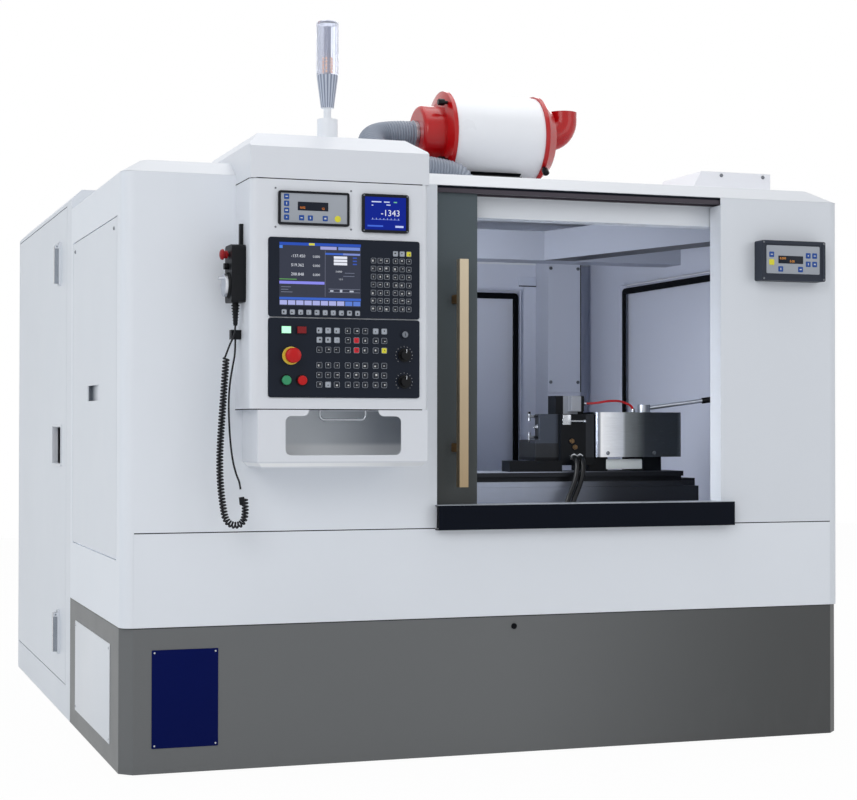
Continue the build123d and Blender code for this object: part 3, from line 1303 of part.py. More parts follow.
def drive_rack():
    """Cabinet mounting plate with drives, terminal rail, transformer and the isolator on its bracket."""
    plate_x = (CABINET_RIGHT - SHEET - RACK_INSET - RACK_PLATE, CABINET_RIGHT - SHEET - RACK_INSET)
    y = (CABINET_FRONT + CABINET_DOOR_INSET, REAR - CABINET_DOOR_INSET)
    z = (2 * CABINET_KICK, CABINET_DOOR_TOP - CABINET_KICK)
    plate = slab(plate_x, y, z)
    for side in (y[0] + RACK_INSET, y[1] - 2 * RACK_INSET):
        plate += slab((plate_x[1], CABINET_RIGHT - SHEET), (side, side + RACK_INSET), z)
    face = plate_x[0]
    made = [plate]
    for index in range(DRIVE_COUNT):
        start = y[0] + RACK_INSET + index * DRIVE_PITCH
        made.append(case(
            (face - DRIVE_DEPTH, face),
            (start, start + DRIVE_WIDTH),
            (z[1] - RACK_INSET - DRIVE_HEIGHT, z[1] - RACK_INSET),
        ))
    rail_z = ISOLATOR_HEIGHT
    made.append(case(
        (face - DRIVE_DEPTH / 3, face),
        (y[0] + 3 * DRIVE_PITCH, y[1] - RACK_INSET),
        (rail_z - RACK_INSET, rail_z + RACK_INSET),
    ))
    made.append(case(
        (face - DRIVE_DEPTH, face),
        (y[0] + RACK_INSET, y[0] + RACK_INSET + DRIVE_HEIGHT),
        (z[0], z[0] + DRIVE_DEPTH),
    ))
    front, switch_y, switch_z = isolator_place()
    half = ISOLATOR_BODY / 2
    body = slab(
        (front, front + ISOLATOR_BODY),
        (switch_y - half, switch_y + half),
        (switch_z - half, switch_z + half),
    )
    body += slab(
        (front + ISOLATOR_BODY, face),
        (switch_y - half / 2, switch_y + half / 2),
        (switch_z - half / 2, switch_z + half / 2),
    )
    body -= rod_x((front, front + half), switch_y, switch_z, ISOLATOR_SHAFT_RADIUS + RUN)
    made.append(body)
    return made


def isolator_lever():
    """Isolator lever on its shaft, behind the window in the cabinet door."""
    front, y, z = isolator_place()
    half = ISOLATOR_LEVER_WIDTH / 2
    plate = (front - 12 - FIT, front - FIT)
    lever = slab(plate, (y - half, y + half), (z - half, z + ISOLATOR_LEVER_LENGTH / 2))
    lever += rod_x(plate, y, z, ISOLATOR_LEVER_WIDTH * 0.8)
    lever += rod_x((plate[1], front + ISOLATOR_BODY / 2 - 1), y, z, ISOLATOR_SHAFT_RADIUS)
    return lever


def panel_left():
    """X of the left edge of the display unit and operator panel."""
    return CONSOLE_LEFT + PANEL_FROM_LEFT


def console_units():
    """X limits, Z limits and stand-out of the four units in the console's face."""
    x0 = panel_left()
    upper = PANEL_BASE + PANEL_HEIGHT + PANEL_SPACE
    return {
        "operator": ((x0, x0 + PANEL_WIDTH), (PANEL_BASE, PANEL_BASE + PANEL_HEIGHT)),
        "display": ((x0, x0 + PANEL_WIDTH), (upper, upper + PANEL_HEIGHT)),
        "balancer": (
            (CONSOLE_LEFT + BALANCER_LEFT, CONSOLE_LEFT + BALANCER_LEFT + BALANCER_WIDTH),
            (BALANCER_BASE, BALANCER_BASE + BALANCER_HEIGHT),
        ),
        "gauge": (
            (CONSOLE_LEFT + GAUGE_LEFT, CONSOLE_LEFT + GAUGE_LEFT + GAUGE_WIDTH),
            (GAUGE_BASE, GAUGE_BASE + GAUGE_HEIGHT),
        ),
    }


def console_housing():
    """Console box, open at the rear where it meets the column, with a cut-out for each unit."""
    x = (CONSOLE_LEFT, CONSOLE_RIGHT)
    z = (CONSOLE_BASE, CONSOLE_SEAM)
    box = slab(x, (CONSOLE_FRONT, FRONT), z)
    front_edges = box.edges().filter_by(Axis.Z).group_by(Axis.Y)[0]
    box = fillet(front_edges, CONSOLE_EDGE)
    box -= slab(
        (x[0] + SHEET, x[1] - SHEET),
        (CONSOLE_FRONT + CONSOLE_EDGE, FRONT),
        (z[0] + SHEET, z[1] - SHEET),
    )
    box -= slab(
        (x[0] + CONSOLE_EDGE, x[1] - CONSOLE_EDGE),
        (CONSOLE_FRONT + SHEET, CONSOLE_FRONT + CONSOLE_EDGE),
        (z[0] + SHEET, z[1] - SHEET),
    )
    for unit_x, unit_z in console_units().values():
        box -= slab(
            (unit_x[0] + PANEL_LIP, unit_x[1] - PANEL_LIP),
            (CONSOLE_FRONT, CONSOLE_FRONT + CONSOLE_EDGE),
            (unit_z[0] + PANEL_LIP, unit_z[1] - PANEL_LIP),
        )
    return box


def hood_block(inset, base):
    """Hood outline drawn in by an inset: sloped in front, bevelled on both sides, seated on the roof."""
    front = CONSOLE_FRONT + inset
    top = HOOD_TOP - inset
    rear = FRONT + HOOD_LENGTH - CONSOLE_DEPTH - inset
    side_view = [
        (front, base), (FRONT, base), (FRONT, SHOULDER_HEIGHT + SEAM),
        (FRONT + ROOF_BEVEL, ROOF_TOP), (rear, ROOF_TOP), (rear, top),
        (CONSOLE_FRONT + HOOD_SLOPE, top), (front, top - HOOD_RISE),
    ]
    left = CONSOLE_LEFT + inset
    right = CONSOLE_RIGHT - inset
    front_view = [
        (left, base), (right, base), (right, top - HOOD_SIDE), (right - HOOD_SIDE, top),
        (left + HOOD_SIDE, top), (left, top - HOOD_SIDE),
    ]
    return prism_x((left, right), side_view) & prism_y((front, rear), front_view)


def console_hood():
    """Sheet hood on the console and the roof behind it."""
    return hood_block(0, CONSOLE_SEAM) - hood_block(SHEET, CONSOLE_SEAM)


def console_pocket():
    """Storage pocket under the console: a bevelled tray with a shaped window in its face."""
    x = (CONSOLE_LEFT + POCKET_INSET_LEFT, CONSOLE_RIGHT - POCKET_INSET_RIGHT)
    z = (CONSOLE_BASE - POCKET_HEIGHT, CONSOLE_BASE)
    tray = slab(x, (CONSOLE_FRONT, FRONT), z)
    low_edges = tray.edges().group_by(Axis.Z)[0]
    outer_edges = [edge for edge in low_edges if edge.center().Y < FRONT - SHEET]
    tray = chamfer(outer_edges, POCKET_BEVEL)
    tray -= slab(
        (x[0] + SHEET, x[1] - SHEET),
        (CONSOLE_FRONT + SHEET, FRONT - SHEET),
        (z[0] + POCKET_BEVEL, z[1]),
    )
    middle = (x[0] + x[1]) / 2
    low = z[0] + POCKET_WINDOW_RISE
    window = RectangleRounded(POCKET_WINDOW_WIDTH, POCKET_WINDOW_HEIGHT, POCKET_FILLET)
    window = Pos(0, POCKET_WINDOW_HEIGHT / 2) * window
    notch_height = POCKET_HEIGHT - POCKET_WINDOW_RISE
    window += Pos(0, notch_height / 2) * Rectangle(POCKET_NOTCH, notch_height)
    shoulders = [
        corner for corner in window.vertices()
        if abs(corner.Y - POCKET_WINDOW_HEIGHT) < SHEET and abs(abs(corner.X) - POCKET_NOTCH / 2) < SHEET
    ]
    window = fillet(shoulders, POCKET_FILLET)
    cutter = extrude(window, SHEET)
    face = Plane(origin=(middle, CONSOLE_FRONT + SHEET, low), x_dir=(1, 0, 0), z_dir=(0, -1, 0))
    return tray - face * cutter


def console_pull():
    """Chrome wire pull under the console's lower edge."""
    middle = (CONSOLE_LEFT + POCKET_INSET_LEFT + CONSOLE_RIGHT - POCKET_INSET_RIGHT) / 2
    half = PULL_WIDTH / 2 - PULL_WIRE_RADIUS
    y = CONSOLE_FRONT + PULL_SETBACK
    low = CONSOLE_BASE - PULL_DROP + PULL_WIRE_RADIUS
    path = FilletPolyline(
        (middle - half, y, CONSOLE_BASE), (middle - half, y, low), (middle + half, y, low),
        (middle + half, y, CONSOLE_BASE), radius=PULL_BEND,
    )
    section = Plane(origin=(middle - half, y, CONSOLE_BASE), z_dir=(0, 0, -1)) * Circle(PULL_WIRE_RADIUS)
    return sweep(section, path=path)


def unit_plate(name, proud, body):
    """Flanged unit in the console face: a plate with rounded corners and a body behind it."""
    x, z = console_units()[name]
    plate = slab(x, (CONSOLE_FRONT - proud, CONSOLE_FRONT), z)
    plate = fillet(plate.edges().filter_by(Axis.Y), PANEL_CORNER)
    inner = slab(
        (x[0] + PANEL_LIP, x[1] - PANEL_LIP),
        (CONSOLE_FRONT, CONSOLE_FRONT + body),
        (z[0] + PANEL_LIP, z[1] - PANEL_LIP),
    )
    return plate + inner


def key_pads(x0, top, places, size):
    """Raised key pads on the console's panel faces, at places from the panel's left and top edges."""
    face = CONSOLE_FRONT - PANEL_PROUD
    pads = None
    for u, v in places:
        pad = slab(
            (x0 + u - size / 2, x0 + u + size / 2),
            (face - KEY_RISE, face),
            (top - v - size / 2, top - v + size / 2),
        )
        pads = pad if pads is None else pads + pad
    return pads


SOFT_KEYS = [(40 + 21.4 * index, 188) for index in range(10)]
KEYBOARD = [(u, 52 + 20.5 * row) for u in (275, 293, 311, 334, 352, 370) for row in range(7)]
TOP_KEYS = [(u, 33) for u in (334, 352, 370)]
PANEL_KEYS = [
    (u, v) for u in (132, 155, 178, 207, 230, 253, 281, 304) for v in (30, 54, 79, 118, 143, 167)
]


def display_unit():
    """Control display: recessed screen, soft keys below it and a keyboard beside it."""
    x, z = console_units()["display"]
    face = CONSOLE_FRONT - PANEL_PROUD
    unit = unit_plate("display", PANEL_PROUD, PANEL_BODY)
    unit -= slab(
        (x[0] + SCREEN_LEFT, x[0] + SCREEN_LEFT + SCREEN_WIDTH),
        (face, face + SCREEN_RECESS),
        (z[1] - SCREEN_TOP - SCREEN_HEIGHT, z[1] - SCREEN_TOP),
    )
    return unit + key_pads(x[0], z[1], SOFT_KEYS + KEYBOARD + TOP_KEYS, KEY_SIZE)


def panel_point(place):
    """X and Z of a control on the operator panel."""
    x, z = console_units()["operator"]
    return x[0] + place[0], z[1] - place[1]


def operator_panel():
    """Operator panel with membrane keys, collars and bores for its controls."""
    x, z = console_units()["operator"]
    face = CONSOLE_FRONT - PANEL_PROUD
    unit = unit_plate("operator", PANEL_PROUD, PANEL_BODY)
    unit += key_pads(x[0], z[1], PANEL_KEYS, KEY_SIZE)
    stem_end = face + BUTTON_STEM + ESTOP_TRAVEL + 1
    collars = {
        ESTOP_PLACE: ESTOP_BASE_RADIUS,
        START_PLACE: BUTTON_CAP_RADIUS + 2,
        STOP_PLACE: BUTTON_CAP_RADIUS + 2,
    }
    for place, radius in collars.items():
        px, pz = panel_point(place)
        unit += rod_y(px, (face - BUTTON_COLLAR, face), pz, radius)
        unit -= rod_y(px, (face - BUTTON_COLLAR, stem_end), pz, BUTTON_BARREL + RUN)
    for place in (POWER_ON_PLACE, POWER_OFF_PLACE):
        px, pz = panel_point(place)
        w, h = POWER_KEY[0] / 2 + 2, POWER_KEY[1] / 2 + 2
        unit += slab((px - w, px + w), (face - BUTTON_COLLAR, face), (pz - h, pz + h))
        w, h = POWER_KEY[0] / 2 + FIT, POWER_KEY[1] / 2 + FIT
        unit -= slab((px - w, px + w), (face - BUTTON_COLLAR, stem_end), (pz - h, pz + h))
    for place in (FEED_DIAL_PLACE, RAPID_DIAL_PLACE):
        px, pz = panel_point(place)
        unit -= rod_y(px, (face, stem_end), pz, DIAL_SHAFT + RUN)
    px, pz = panel_point(KEY_SWITCH_PLACE)
    unit += rod_y(px, (face - BUTTON_COLLAR, face), pz, KEY_SWITCH_RADIUS + 3)
    unit -= rod_y(px, (face - BUTTON_COLLAR, stem_end), pz, KEY_SWITCH_RADIUS + RUN)
    return unit


def push_button(place, head_radius, head, travel, neck=0):
    """Button with a round head on a stem in the operator panel, on a longer neck for a mushroom head."""
    x, z = panel_point(place)
    face = CONSOLE_FRONT - PANEL_PROUD
    collar = face - BUTTON_COLLAR
    under = collar - travel - FIT - neck
    cap = rod_y(x, (under - head, under), z, head_radius)
    rim = cap.edges().group_by(Axis.Y)[0]
    cap = fillet(rim, head * 0.4)
    return cap + rod_y(x, (under, face + BUTTON_STEM), z, BUTTON_BARREL)


def power_button(place):
    """Lit rectangular push button."""
    x, z = panel_point(place)
    face = CONSOLE_FRONT - PANEL_PROUD
    w, h = POWER_KEY[0] / 2, POWER_KEY[1] / 2
    return slab(
        (x - w, x + w),
        (face - BUTTON_COLLAR - BUTTON_TRAVEL, face + BUTTON_STEM),
        (z - h, z + h),
    )


def override_dial(place):
    """Override knob with a raised grip on a shaft in the operator panel."""
    x, z = panel_point(place)
    face = CONSOLE_FRONT - PANEL_PROUD
    base = (face - DIAL_HEIGHT / 3, face - FIT)
    knob = rod_y(x, base, z, DIAL_RADIUS)
    knob += rod_y(x, (face - DIAL_HEIGHT, base[0]), z, DIAL_RADIUS * 0.72)
    knob += rod_y(x, (base[1], face + BUTTON_STEM), z, DIAL_SHAFT)
    return knob


def key_switch():
    """Key switch barrel with its key slot, in the operator panel."""
    x, z = panel_point(KEY_SWITCH_PLACE)
    face = CONSOLE_FRONT - PANEL_PROUD
    nose = face - KEY_SWITCH_HEIGHT
    barrel = rod_y(x, (nose, face + BUTTON_STEM), z, KEY_SWITCH_RADIUS)
    half = KEY_SWITCH_RADIUS * 0.6
    return barrel - slab((x - 1, x + 1), (nose, nose + 3), (z - half, z + half))


def instrument(name):
    """Small unit in the console face with a recessed front."""
    x, z = console_units()[name]
    face = CONSOLE_FRONT - UNIT_PROUD
    unit = unit_plate(name, UNIT_PROUD, UNIT_BODY)
    return unit - slab(
        (x[0] + PANEL_CORNER, x[1] - PANEL_CORNER),
        (face, face + UNIT_RECESS),
        (z[0] + PANEL_CORNER, z[1] - PANEL_CORNER),
    )


def monitor_box():
    """Coolant monitor: a deep box on the right column with a recessed face."""
    right = RIGHT - MONITOR_INSET
    x = (right - MONITOR_WIDTH, right)
    z = (MONITOR_BASE, MONITOR_BASE + MONITOR_HEIGHT)
    face = FRONT - MONITOR_DEPTH
    box = slab(x, (face, FRONT), z)
    box = fillet(box.edges().filter_by(Axis.Y), MONITOR_FRAME / 2)
    return box - slab(
        (x[0] + MONITOR_FRAME, x[1] - MONITOR_FRAME),
        (face, face + UNIT_RECESS),
        (z[0] + MONITOR_FRAME, z[1] - MONITOR_FRAME),
    )


def pendant_body():
    """Hand pendant on the console's left side: bores for its controls, tapered strain relief below."""
    y = (PENDANT_Y - PENDANT_WIDTH / 2, PENDANT_Y + PENDANT_WIDTH / 2)
    z = (PENDANT_BASE, PENDANT_BASE + PENDANT_HEIGHT)
    body = slab((PENDANT_FACE, CONSOLE_LEFT), y, z)
    body = fillet(body.edges().filter_by(Axis.X), PENDANT_CORNER)
    bore = (PENDANT_FACE, PENDANT_FACE + PENDANT_THICK * 0.7)
    for rise in (HANDWHEEL_RISE, PENDANT_STOP_RISE, SELECTOR_RISE):
        body -= rod_x(bore, PENDANT_Y, PENDANT_BASE + rise, CONTROL_SHAFT + RUN)
    x = relief_x()
    relief = Pos(x, PENDANT_Y, PENDANT_BASE - RELIEF_LENGTH / 2)
    return body + relief * Cone(RELIEF_END_RADIUS, RELIEF_TOP_RADIUS, RELIEF_LENGTH)


def relief_x():
    """X of the pendant's strain relief."""
    return CONSOLE_LEFT - PENDANT_THICK / 2


def pendant_brackets():
    """Hanger strap above the pendant and the cord clip below it, both on the console's side."""
    strap = slab(
        (CONSOLE_LEFT - 9, CONSOLE_LEFT),
        (PENDANT_Y - 7, PENDANT_Y + 7),
        (PENDANT_BASE + PENDANT_HEIGHT, PENDANT_BASE + PENDANT_HEIGHT + HANGER_HEIGHT),
    )
    clip = slab(
        (CONSOLE_LEFT - CLIP_THICK, CONSOLE_LEFT),
        (PENDANT_Y + CLIP_SIZE / 2, PENDANT_Y + CLIP_SIZE * 1.5),
        (CLIP_BASE, CLIP_BASE + CLIP_SIZE),
    )
    return strap, clip


def pendant_control(rise, radius, height, gap):
    """Round control on a shaft in the pendant's face."""
    z = PENDANT_BASE + rise
    base = PENDANT_FACE - gap
    knob = rod_x((base - height, base), PENDANT_Y, z, radius)
    return knob + rod_x((base, PENDANT_FACE + PENDANT_THICK * 0.7 - gap - 1), PENDANT_Y, z, CONTROL_SHAFT)


def pendant_handwheel():
    """Handwheel dial of the pendant, with its finger knob."""
    wheel = pendant_control(HANDWHEEL_RISE, HANDWHEEL_RADIUS, HANDWHEEL_THICK, FIT)
    outer = PENDANT_FACE - FIT - HANDWHEEL_THICK
    z = PENDANT_BASE + HANDWHEEL_RISE + HANDWHEEL_RADIUS * 0.62
    return wheel + rod_x((outer - HANDWHEEL_KNOB_LENGTH, outer), PENDANT_Y, z, HANDWHEEL_KNOB_RADIUS)


def biarc(start, start_way, end, end_way):
    """Two tangent arcs from one point and direction to another point and direction."""
    chord = end - start
    ways = start_way + end_way
    bend = 2 * (1 - start_way.dot(end_way))
    reach = chord.dot(ways)
    side = (sqrt(reach * reach + bend * chord.dot(chord)) - reach) / bend
    meet = (start + start_way * side + end - end_way * side) * 0.5
    first = Edge.make_tangent_arc(start, start_way, meet)
    second = Edge.make_tangent_arc(meet, (meet - start - start_way * side), end)
    return [first, second]


CURL_ROUTE = [
    (-42, 1066), (-47, 994), (-53, 909), (-58, 830), (-58, 765),
    (-52, 700), (-40, 637), (15, 641), (6, 706),
]


def curl_guide():
    """Middle line of the curls: route points from the console's left side and the floor, joined by arcs."""
    points = [(CONSOLE_LEFT + x, PENDANT_Y, z) for x, z in CURL_ROUTE]
    places = [Vector(*point) for point in points]
    radii = []
    for before, here, after in zip(places, places[1:], places[2:]):
        turn = radians((here - before).get_angle(after - here))
        radii.append(0.48 * min((here - before).length, (after - here).length) / tan(turn / 2))
    return FilletPolyline(*points, radius=radii)


def curl_point(guide, turn):
    """Point of the helix after a number of turns along the guide."""
    share = min(max(turn / CURL_COUNT, 0), 1)
    along = guide % share
    across = Vector(0, 1, 0)
    side = along.cross(across)
    angle = 2 * pi * turn
    return (guide @ share) + (side * cos(angle) + across * sin(angle)) * CURL_RADIUS


def curl_way(guide, turn):
    """Direction of the helix after a number of turns."""
    step = 0.01
    return (curl_point(guide, turn + step) - curl_point(guide, turn - step)).normalized()


def pendant_coil():
    """Curly cord: straight lead from the strain relief, helix of biarcs, straight end at the sleeve."""
    guide = curl_guide()
    places = []
    ways = []
    lead = 0.75
    top_way = guide % 0
    top = curl_point(guide, 0)
    relief_end = Vector(relief_x(), PENDANT_Y, PENDANT_BASE - RELIEF_LENGTH)
    down = Vector(0, 0, -1)
    places += [relief_end, relief_end + down * 4 * CORD_RADIUS, top - top_way * CURL_RADIUS, top]
    ways += [down, down, top_way, top_way]
    turn = lead
    while turn < CURL_COUNT - lead:
        places.append(curl_point(guide, turn))
        ways.append(curl_way(guide, turn))
        turn += 0.5
    end_way = guide % 1
    end = curl_point(guide, CURL_COUNT)
    places += [end, end + end_way * 2 * CORD_RADIUS]
    ways += [end_way, end_way]
    edges = []
    for a, wa, b, wb in zip(places, ways, places[1:], ways[1:]):
        straight = (b - a).normalized()
        if wa.dot(straight) > 0.99999 and wb.dot(straight) > 0.99999:
            edges.append(Edge.make_line(a, b))
        else:
            edges.extend(biarc(a, wa, b, wb))
    path = Wire(edges)
    tube = sweep(Plane(origin=places[0], z_dir=ways[0]) * Circle(CORD_RADIUS), path=path)
    samples = [edge @ share for edge in edges for share in (0, 0.25, 0.5, 0.75)]
    window = 12
    least = min(
        (samples[i] - samples[j]).length
        for i in range(len(samples))
        for j in range(i + window, min(i + 6 * window, len(samples)))
    )
    print("curl least gap", round(least - 2 * CORD_RADIUS, 2), "length", round(path.length, 1),
          "volume ratio", round(tube.volume / (pi * CORD_RADIUS**2 * path.length), 4))
    return tube, end + end_way * 2 * CORD_RADIUS, end_way


LEAD_ROUTE = [
    (-13, 762), (-23, 800), (-29, 850), (-32, 909),
    (-32, 959), (-28, 1004), (-20, 1046), (-13, 1078),
]


def pendant_lead(end, way):
    """Sleeve on the end of the curls, and the straight lead from it up to the clip."""
    sleeve_plane = Plane(origin=end, x_dir=(0, 1, 0), z_dir=way)
    sleeve = extrude(sleeve_plane * Rectangle(SLEEVE_WIDTH, SLEEVE_WIDTH), SLEEVE_LENGTH)
    out = end + way * SLEEVE_LENGTH
    clip_y = PENDANT_Y + CLIP_SIZE
    clip_x = CONSOLE_LEFT - CLIP_THICK / 2
    route = [out, out + way * 20]
    count = len(LEAD_ROUTE)
    for index, (x, z) in enumerate(LEAD_ROUTE):
        share = (index + 1) / count
        route.append(Vector(CONSOLE_LEFT + x, PENDANT_Y + share * (clip_y - PENDANT_Y), z))
    route.append(Vector(clip_x, clip_y, CLIP_BASE))
    return sleeve, bent_tube([tuple(point) for point in route], CORD_RADIUS)


def mist_drum():
    """Drum of the mist collector, a plain tube."""
    x = (DRUM_LEFT, DRUM_LEFT + DRUM_LENGTH)
    return rod_x(x, DRUM_Y, DRUM_Z, DRUM_RADIUS) - rod_x(x, DRUM_Y, DRUM_Z, DRUM_RADIUS - DRUM_WALL)


def dished_cap(face_x, way, dish):
    """End cap of the drum: a rim and a dish that narrows to a neck, to the left (way -1) or right (1)."""
    rim = face_x + way * CAP_LIP
    neck = rim + way * dish
    cap = rod_x(span(face_x, rim), DRUM_Y, DRUM_Z, DRUM_RADIUS + CAP_RIM)
    cap += cone_x((rim, neck), DRUM_Y, DRUM_Z, DRUM_RADIUS + CAP_RIM, CAP_NECK_RADIUS)
    cap -= rod_x(span(face_x, rim), DRUM_Y, DRUM_Z, DRUM_RADIUS - DRUM_WALL)
    inner_neck = CAP_NECK_RADIUS - 2 * CAP_WALL
    cap -= cone_x((rim, neck - way * CAP_WALL), DRUM_Y, DRUM_Z, DRUM_RADIUS - DRUM_WALL, inner_neck)
    return cap, neck


def mist_caps():
    """Red end caps: fat round-edged inlet on the left, outlet scoop that turns up on the right."""
    left, neck = dished_cap(DRUM_LEFT, -1, INLET_DISH)
    end = neck - INLET_LENGTH
    stub = rod_x((end, neck + CAP_WALL), DRUM_Y, DRUM_Z, INLET_RADIUS)
    left += fillet(stub.edges().group_by(Axis.X)[0], INLET_ROUND)
    hollow = rod_x((end + CAP_WALL, neck + CAP_WALL), DRUM_Y, DRUM_Z, INLET_RADIUS - CAP_WALL)
    left -= fillet(hollow.edges().group_by(Axis.X)[0], INLET_ROUND - CAP_WALL)
    left -= rod_x((end, end + CAP_WALL), DRUM_Y, DRUM_Z, HOSE_PORT)
    right, neck = dished_cap(DRUM_LEFT + DRUM_LENGTH, 1, CAP_DISH)
    z = DRUM_Z + OUTLET_RISE
    far = neck + OUTLET_NECK + OUTLET_BEND
    first = neck - CAP_DISH / 2
    route = FilletPolyline(
        (first, DRUM_Y, z), (far, DRUM_Y, z), (far, DRUM_Y, z + OUTLET_BEND + OUTLET_COLLAR),
        radius=OUTLET_BEND,
    )
    start = Plane(origin=(first, DRUM_Y, z), z_dir=(1, 0, 0))
    right += sweep(start * Circle(OUTLET_RADIUS), path=route)
    right -= sweep(start * Circle(OUTLET_RADIUS - CAP_WALL), path=route)
    return left, right


HOSE_ROUTE = [
    (-60, 0, 185), (-135, -8, 172), (-165, -62, 136), (-135, -118, 92),
    (-60, -132, 66), (20, -132, 60), (103, -132, 44), (103, -132, 0),
]


def hose_start():
    """Where the mist hose leaves the inlet cap."""
    return Vector(DRUM_LEFT - CAP_LIP - INLET_DISH - INLET_LENGTH, DRUM_Y, DRUM_Z)


def hose_points():
    """Route of the mist hose, from the inlet's mouth and the roof: out to the left, round and into the roof."""
    start = hose_start()
    return [start] + [Vector(start.X + x, start.Y + y, ROOF_TOP + z) for x, y, z in HOSE_ROUTE]


def hose_end():
    """Where the mist hose meets the roof: X, Y."""
    end = hose_points()[-1]
    return (end.X, end.Y)


def hose_guide():
    """Middle line of the mist hose: the route's runs joined by arcs."""
    places = hose_points()
    shares = [0.48] * (len(places) - 3) + [0.95]
    radii = []
    for before, here, after, share in zip(places, places[1:], places[2:], shares):
        turn = radians((here - before).get_angle(after - here))
        radii.append(share * min((here - before).length, (after - here).length) / tan(turn / 2))
    print("hose radii", [round(radius) for radius in radii])
    return FilletPolyline(*[tuple(place) for place in places], radius=radii)


def mist_hose():
    """Ribbed hose: a ruled loft through four circles for each rib, less a smooth bore."""
    guide = hose_guide()
    ribs = round(guide.length / HOSE_PITCH)
    shares = [index / (4 * ribs) for index in range(4 * ribs + 1)]
    crest, root = HOSE_RADIUS, HOSE_RADIUS - HOSE_RIB
    radii = [root, crest, crest, root] * ribs + [root]
    across = Vector(0, 0, 1)
    outer = []
    inner = []
    for share, radius in zip(shares, radii):
        along = guide % share
        across = (across - along * across.dot(along)).normalized()
        plane = Plane(origin=guide @ share, x_dir=across, z_dir=along)
        outer.append((plane * Circle(radius)).face())
        inner.append((plane * Circle(HOSE_BORE)).face())
    hose = loft(outer, ruled=True) - loft(inner, ruled=True)
    print("hose ribs", ribs, "length", round(guide.length, 1), "volume", round(hose.volume))
    return hose


def beacon():
    """Signal beacon: foot, neck and tapered base in one turning, and the clear lens on top."""
    x = CONSOLE_LEFT + BEACON_FROM_CONSOLE
    y = CONSOLE_FRONT + BEACON_SETBACK
    foot = (HOOD_TOP, HOOD_TOP + BEACON_FOOT_HEIGHT)
    neck = (foot[1], foot[1] + BEACON_NECK_HEIGHT)
    taper = (neck[1], neck[1] + BEACON_TAPER_HEIGHT)
    base = rod_z(x, y, foot, BEACON_FOOT_RADIUS) + rod_z(x, y, neck, BEACON_NECK_RADIUS)
    base += Pos(x, y, sum(taper) / 2) * Cone(BEACON_TAPER_RADIUS, BEACON_LENS_RADIUS, BEACON_TAPER_HEIGHT)
    lens_z = (taper[1], taper[1] + BEACON_LENS_HEIGHT)
    lens = rod_z(x, y, lens_z, BEACON_LENS_RADIUS)
    lens = fillet(lens.edges().group_by(Axis.Z)[-1], BEACON_LENS_RADIUS * 0.3)
    lens -= rod_z(x, y, (lens_z[0], lens_z[1] - 4 * BEACON_WALL), BEACON_LENS_RADIUS - BEACON_WALL)
    return base, lens


bed, pads = bed_and_pads()
keep("bed", bed, *pads)
keep("plinth_skirt", plinth_skirt())
keep("front_apron", front_apron())
left_wall, side_door = left_side()
keep("left_column", left_wall)
keep("side_door", side_door)
keep("right_column", right_column())
right_wall, service_door = right_side()
keep("right_side_panel", right_wall)
keep("service_door", service_door)
keep("rear_panel", *rear_panel())
keep("roof_panel", roof_tray(), roof_box(), saddle())
keep("door_tracks", *sill_and_tracks())
keep("chamber_liner", *chamber_liner())

door_frame, door_glass, door_handle = sliding_door()
keep("door_frame", door_frame)
keep("door_glass", door_glass)
keep("door_handle", door_handle)

cabinet_shell, cabinet_door = cabinet()
keep("cabinet_shell", cabinet_shell)
keep("cabinet_door", cabinet_door)
keep("drive_rack", *drive_rack())
keep("upper_latch", latch_lever(UPPER_LATCH_HEIGHT))
keep("lower_latch", latch_lever(LOWER_LATCH_HEIGHT))
keep("isolator_lever", isolator_lever())

keep("table_slide", table_slide(), *end_clamps())
keep("swivel_table", swivel_table())
head_body, head_motor, work_spindle = workhead()
keep("workhead", head_body, head_motor)
keep("work_spindle", work_spindle)
tail_pieces, dresser_pieces, quill = tailstock()
keep("tailstock", *tail_pieces, *dresser_pieces)
keep("tailstock_quill", quill)
keep("tailstock_cover", tailstock_cover())
keep("quill_lever", quill_lever())
keep("tailstock_hoses", *tailstock_hoses())
keep("wheelhead", *wheelhead())
keep("grinding_wheel", *grinding_wheel())

keep("console_housing", console_housing())
keep("console_hood", console_hood())
keep("console_pocket", console_pocket())
keep("console_pull", console_pull())
keep("display_unit", display_unit())
keep("operator_panel", operator_panel())
keep("console_instruments", instrument("balancer"), instrument("gauge"))
keep("estop_button", push_button(ESTOP_PLACE, ESTOP_HEAD_RADIUS, ESTOP_HEAD, ESTOP_TRAVEL, ESTOP_NECK))
keep("start_button", push_button(START_PLACE, BUTTON_CAP_RADIUS, BUTTON_CAP, BUTTON_TRAVEL))
keep("stop_button", push_button(STOP_PLACE, BUTTON_CAP_RADIUS, BUTTON_CAP, BUTTON_TRAVEL))
keep("power_on_button", power_button(POWER_ON_PLACE))
keep("power_off_button", power_button(POWER_OFF_PLACE))
keep("feed_dial", override_dial(FEED_DIAL_PLACE))
keep("rapid_dial", override_dial(RAPID_DIAL_PLACE))
keep("key_switch", key_switch())
keep("monitor_box", monitor_box())

keep("pendant_body", pendant_body())
keep("pendant_brackets", *pendant_brackets())
keep("pendant_handwheel", pendant_handwheel())
stop_gap = PENDANT_STOP_TRAVEL + FIT
keep("pendant_estop", pendant_control(PENDANT_STOP_RISE, PENDANT_STOP_RADIUS, PENDANT_STOP_HEAD, stop_gap))
keep("pendant_selector", pendant_control(SELECTOR_RISE, SELECTOR_RADIUS, SELECTOR_HEIGHT, FIT))
coil, coil_end, coil_way = pendant_coil()
keep("pendant_coil", coil)
keep("pendant_lead", *pendant_lead(coil_end, coil_way))

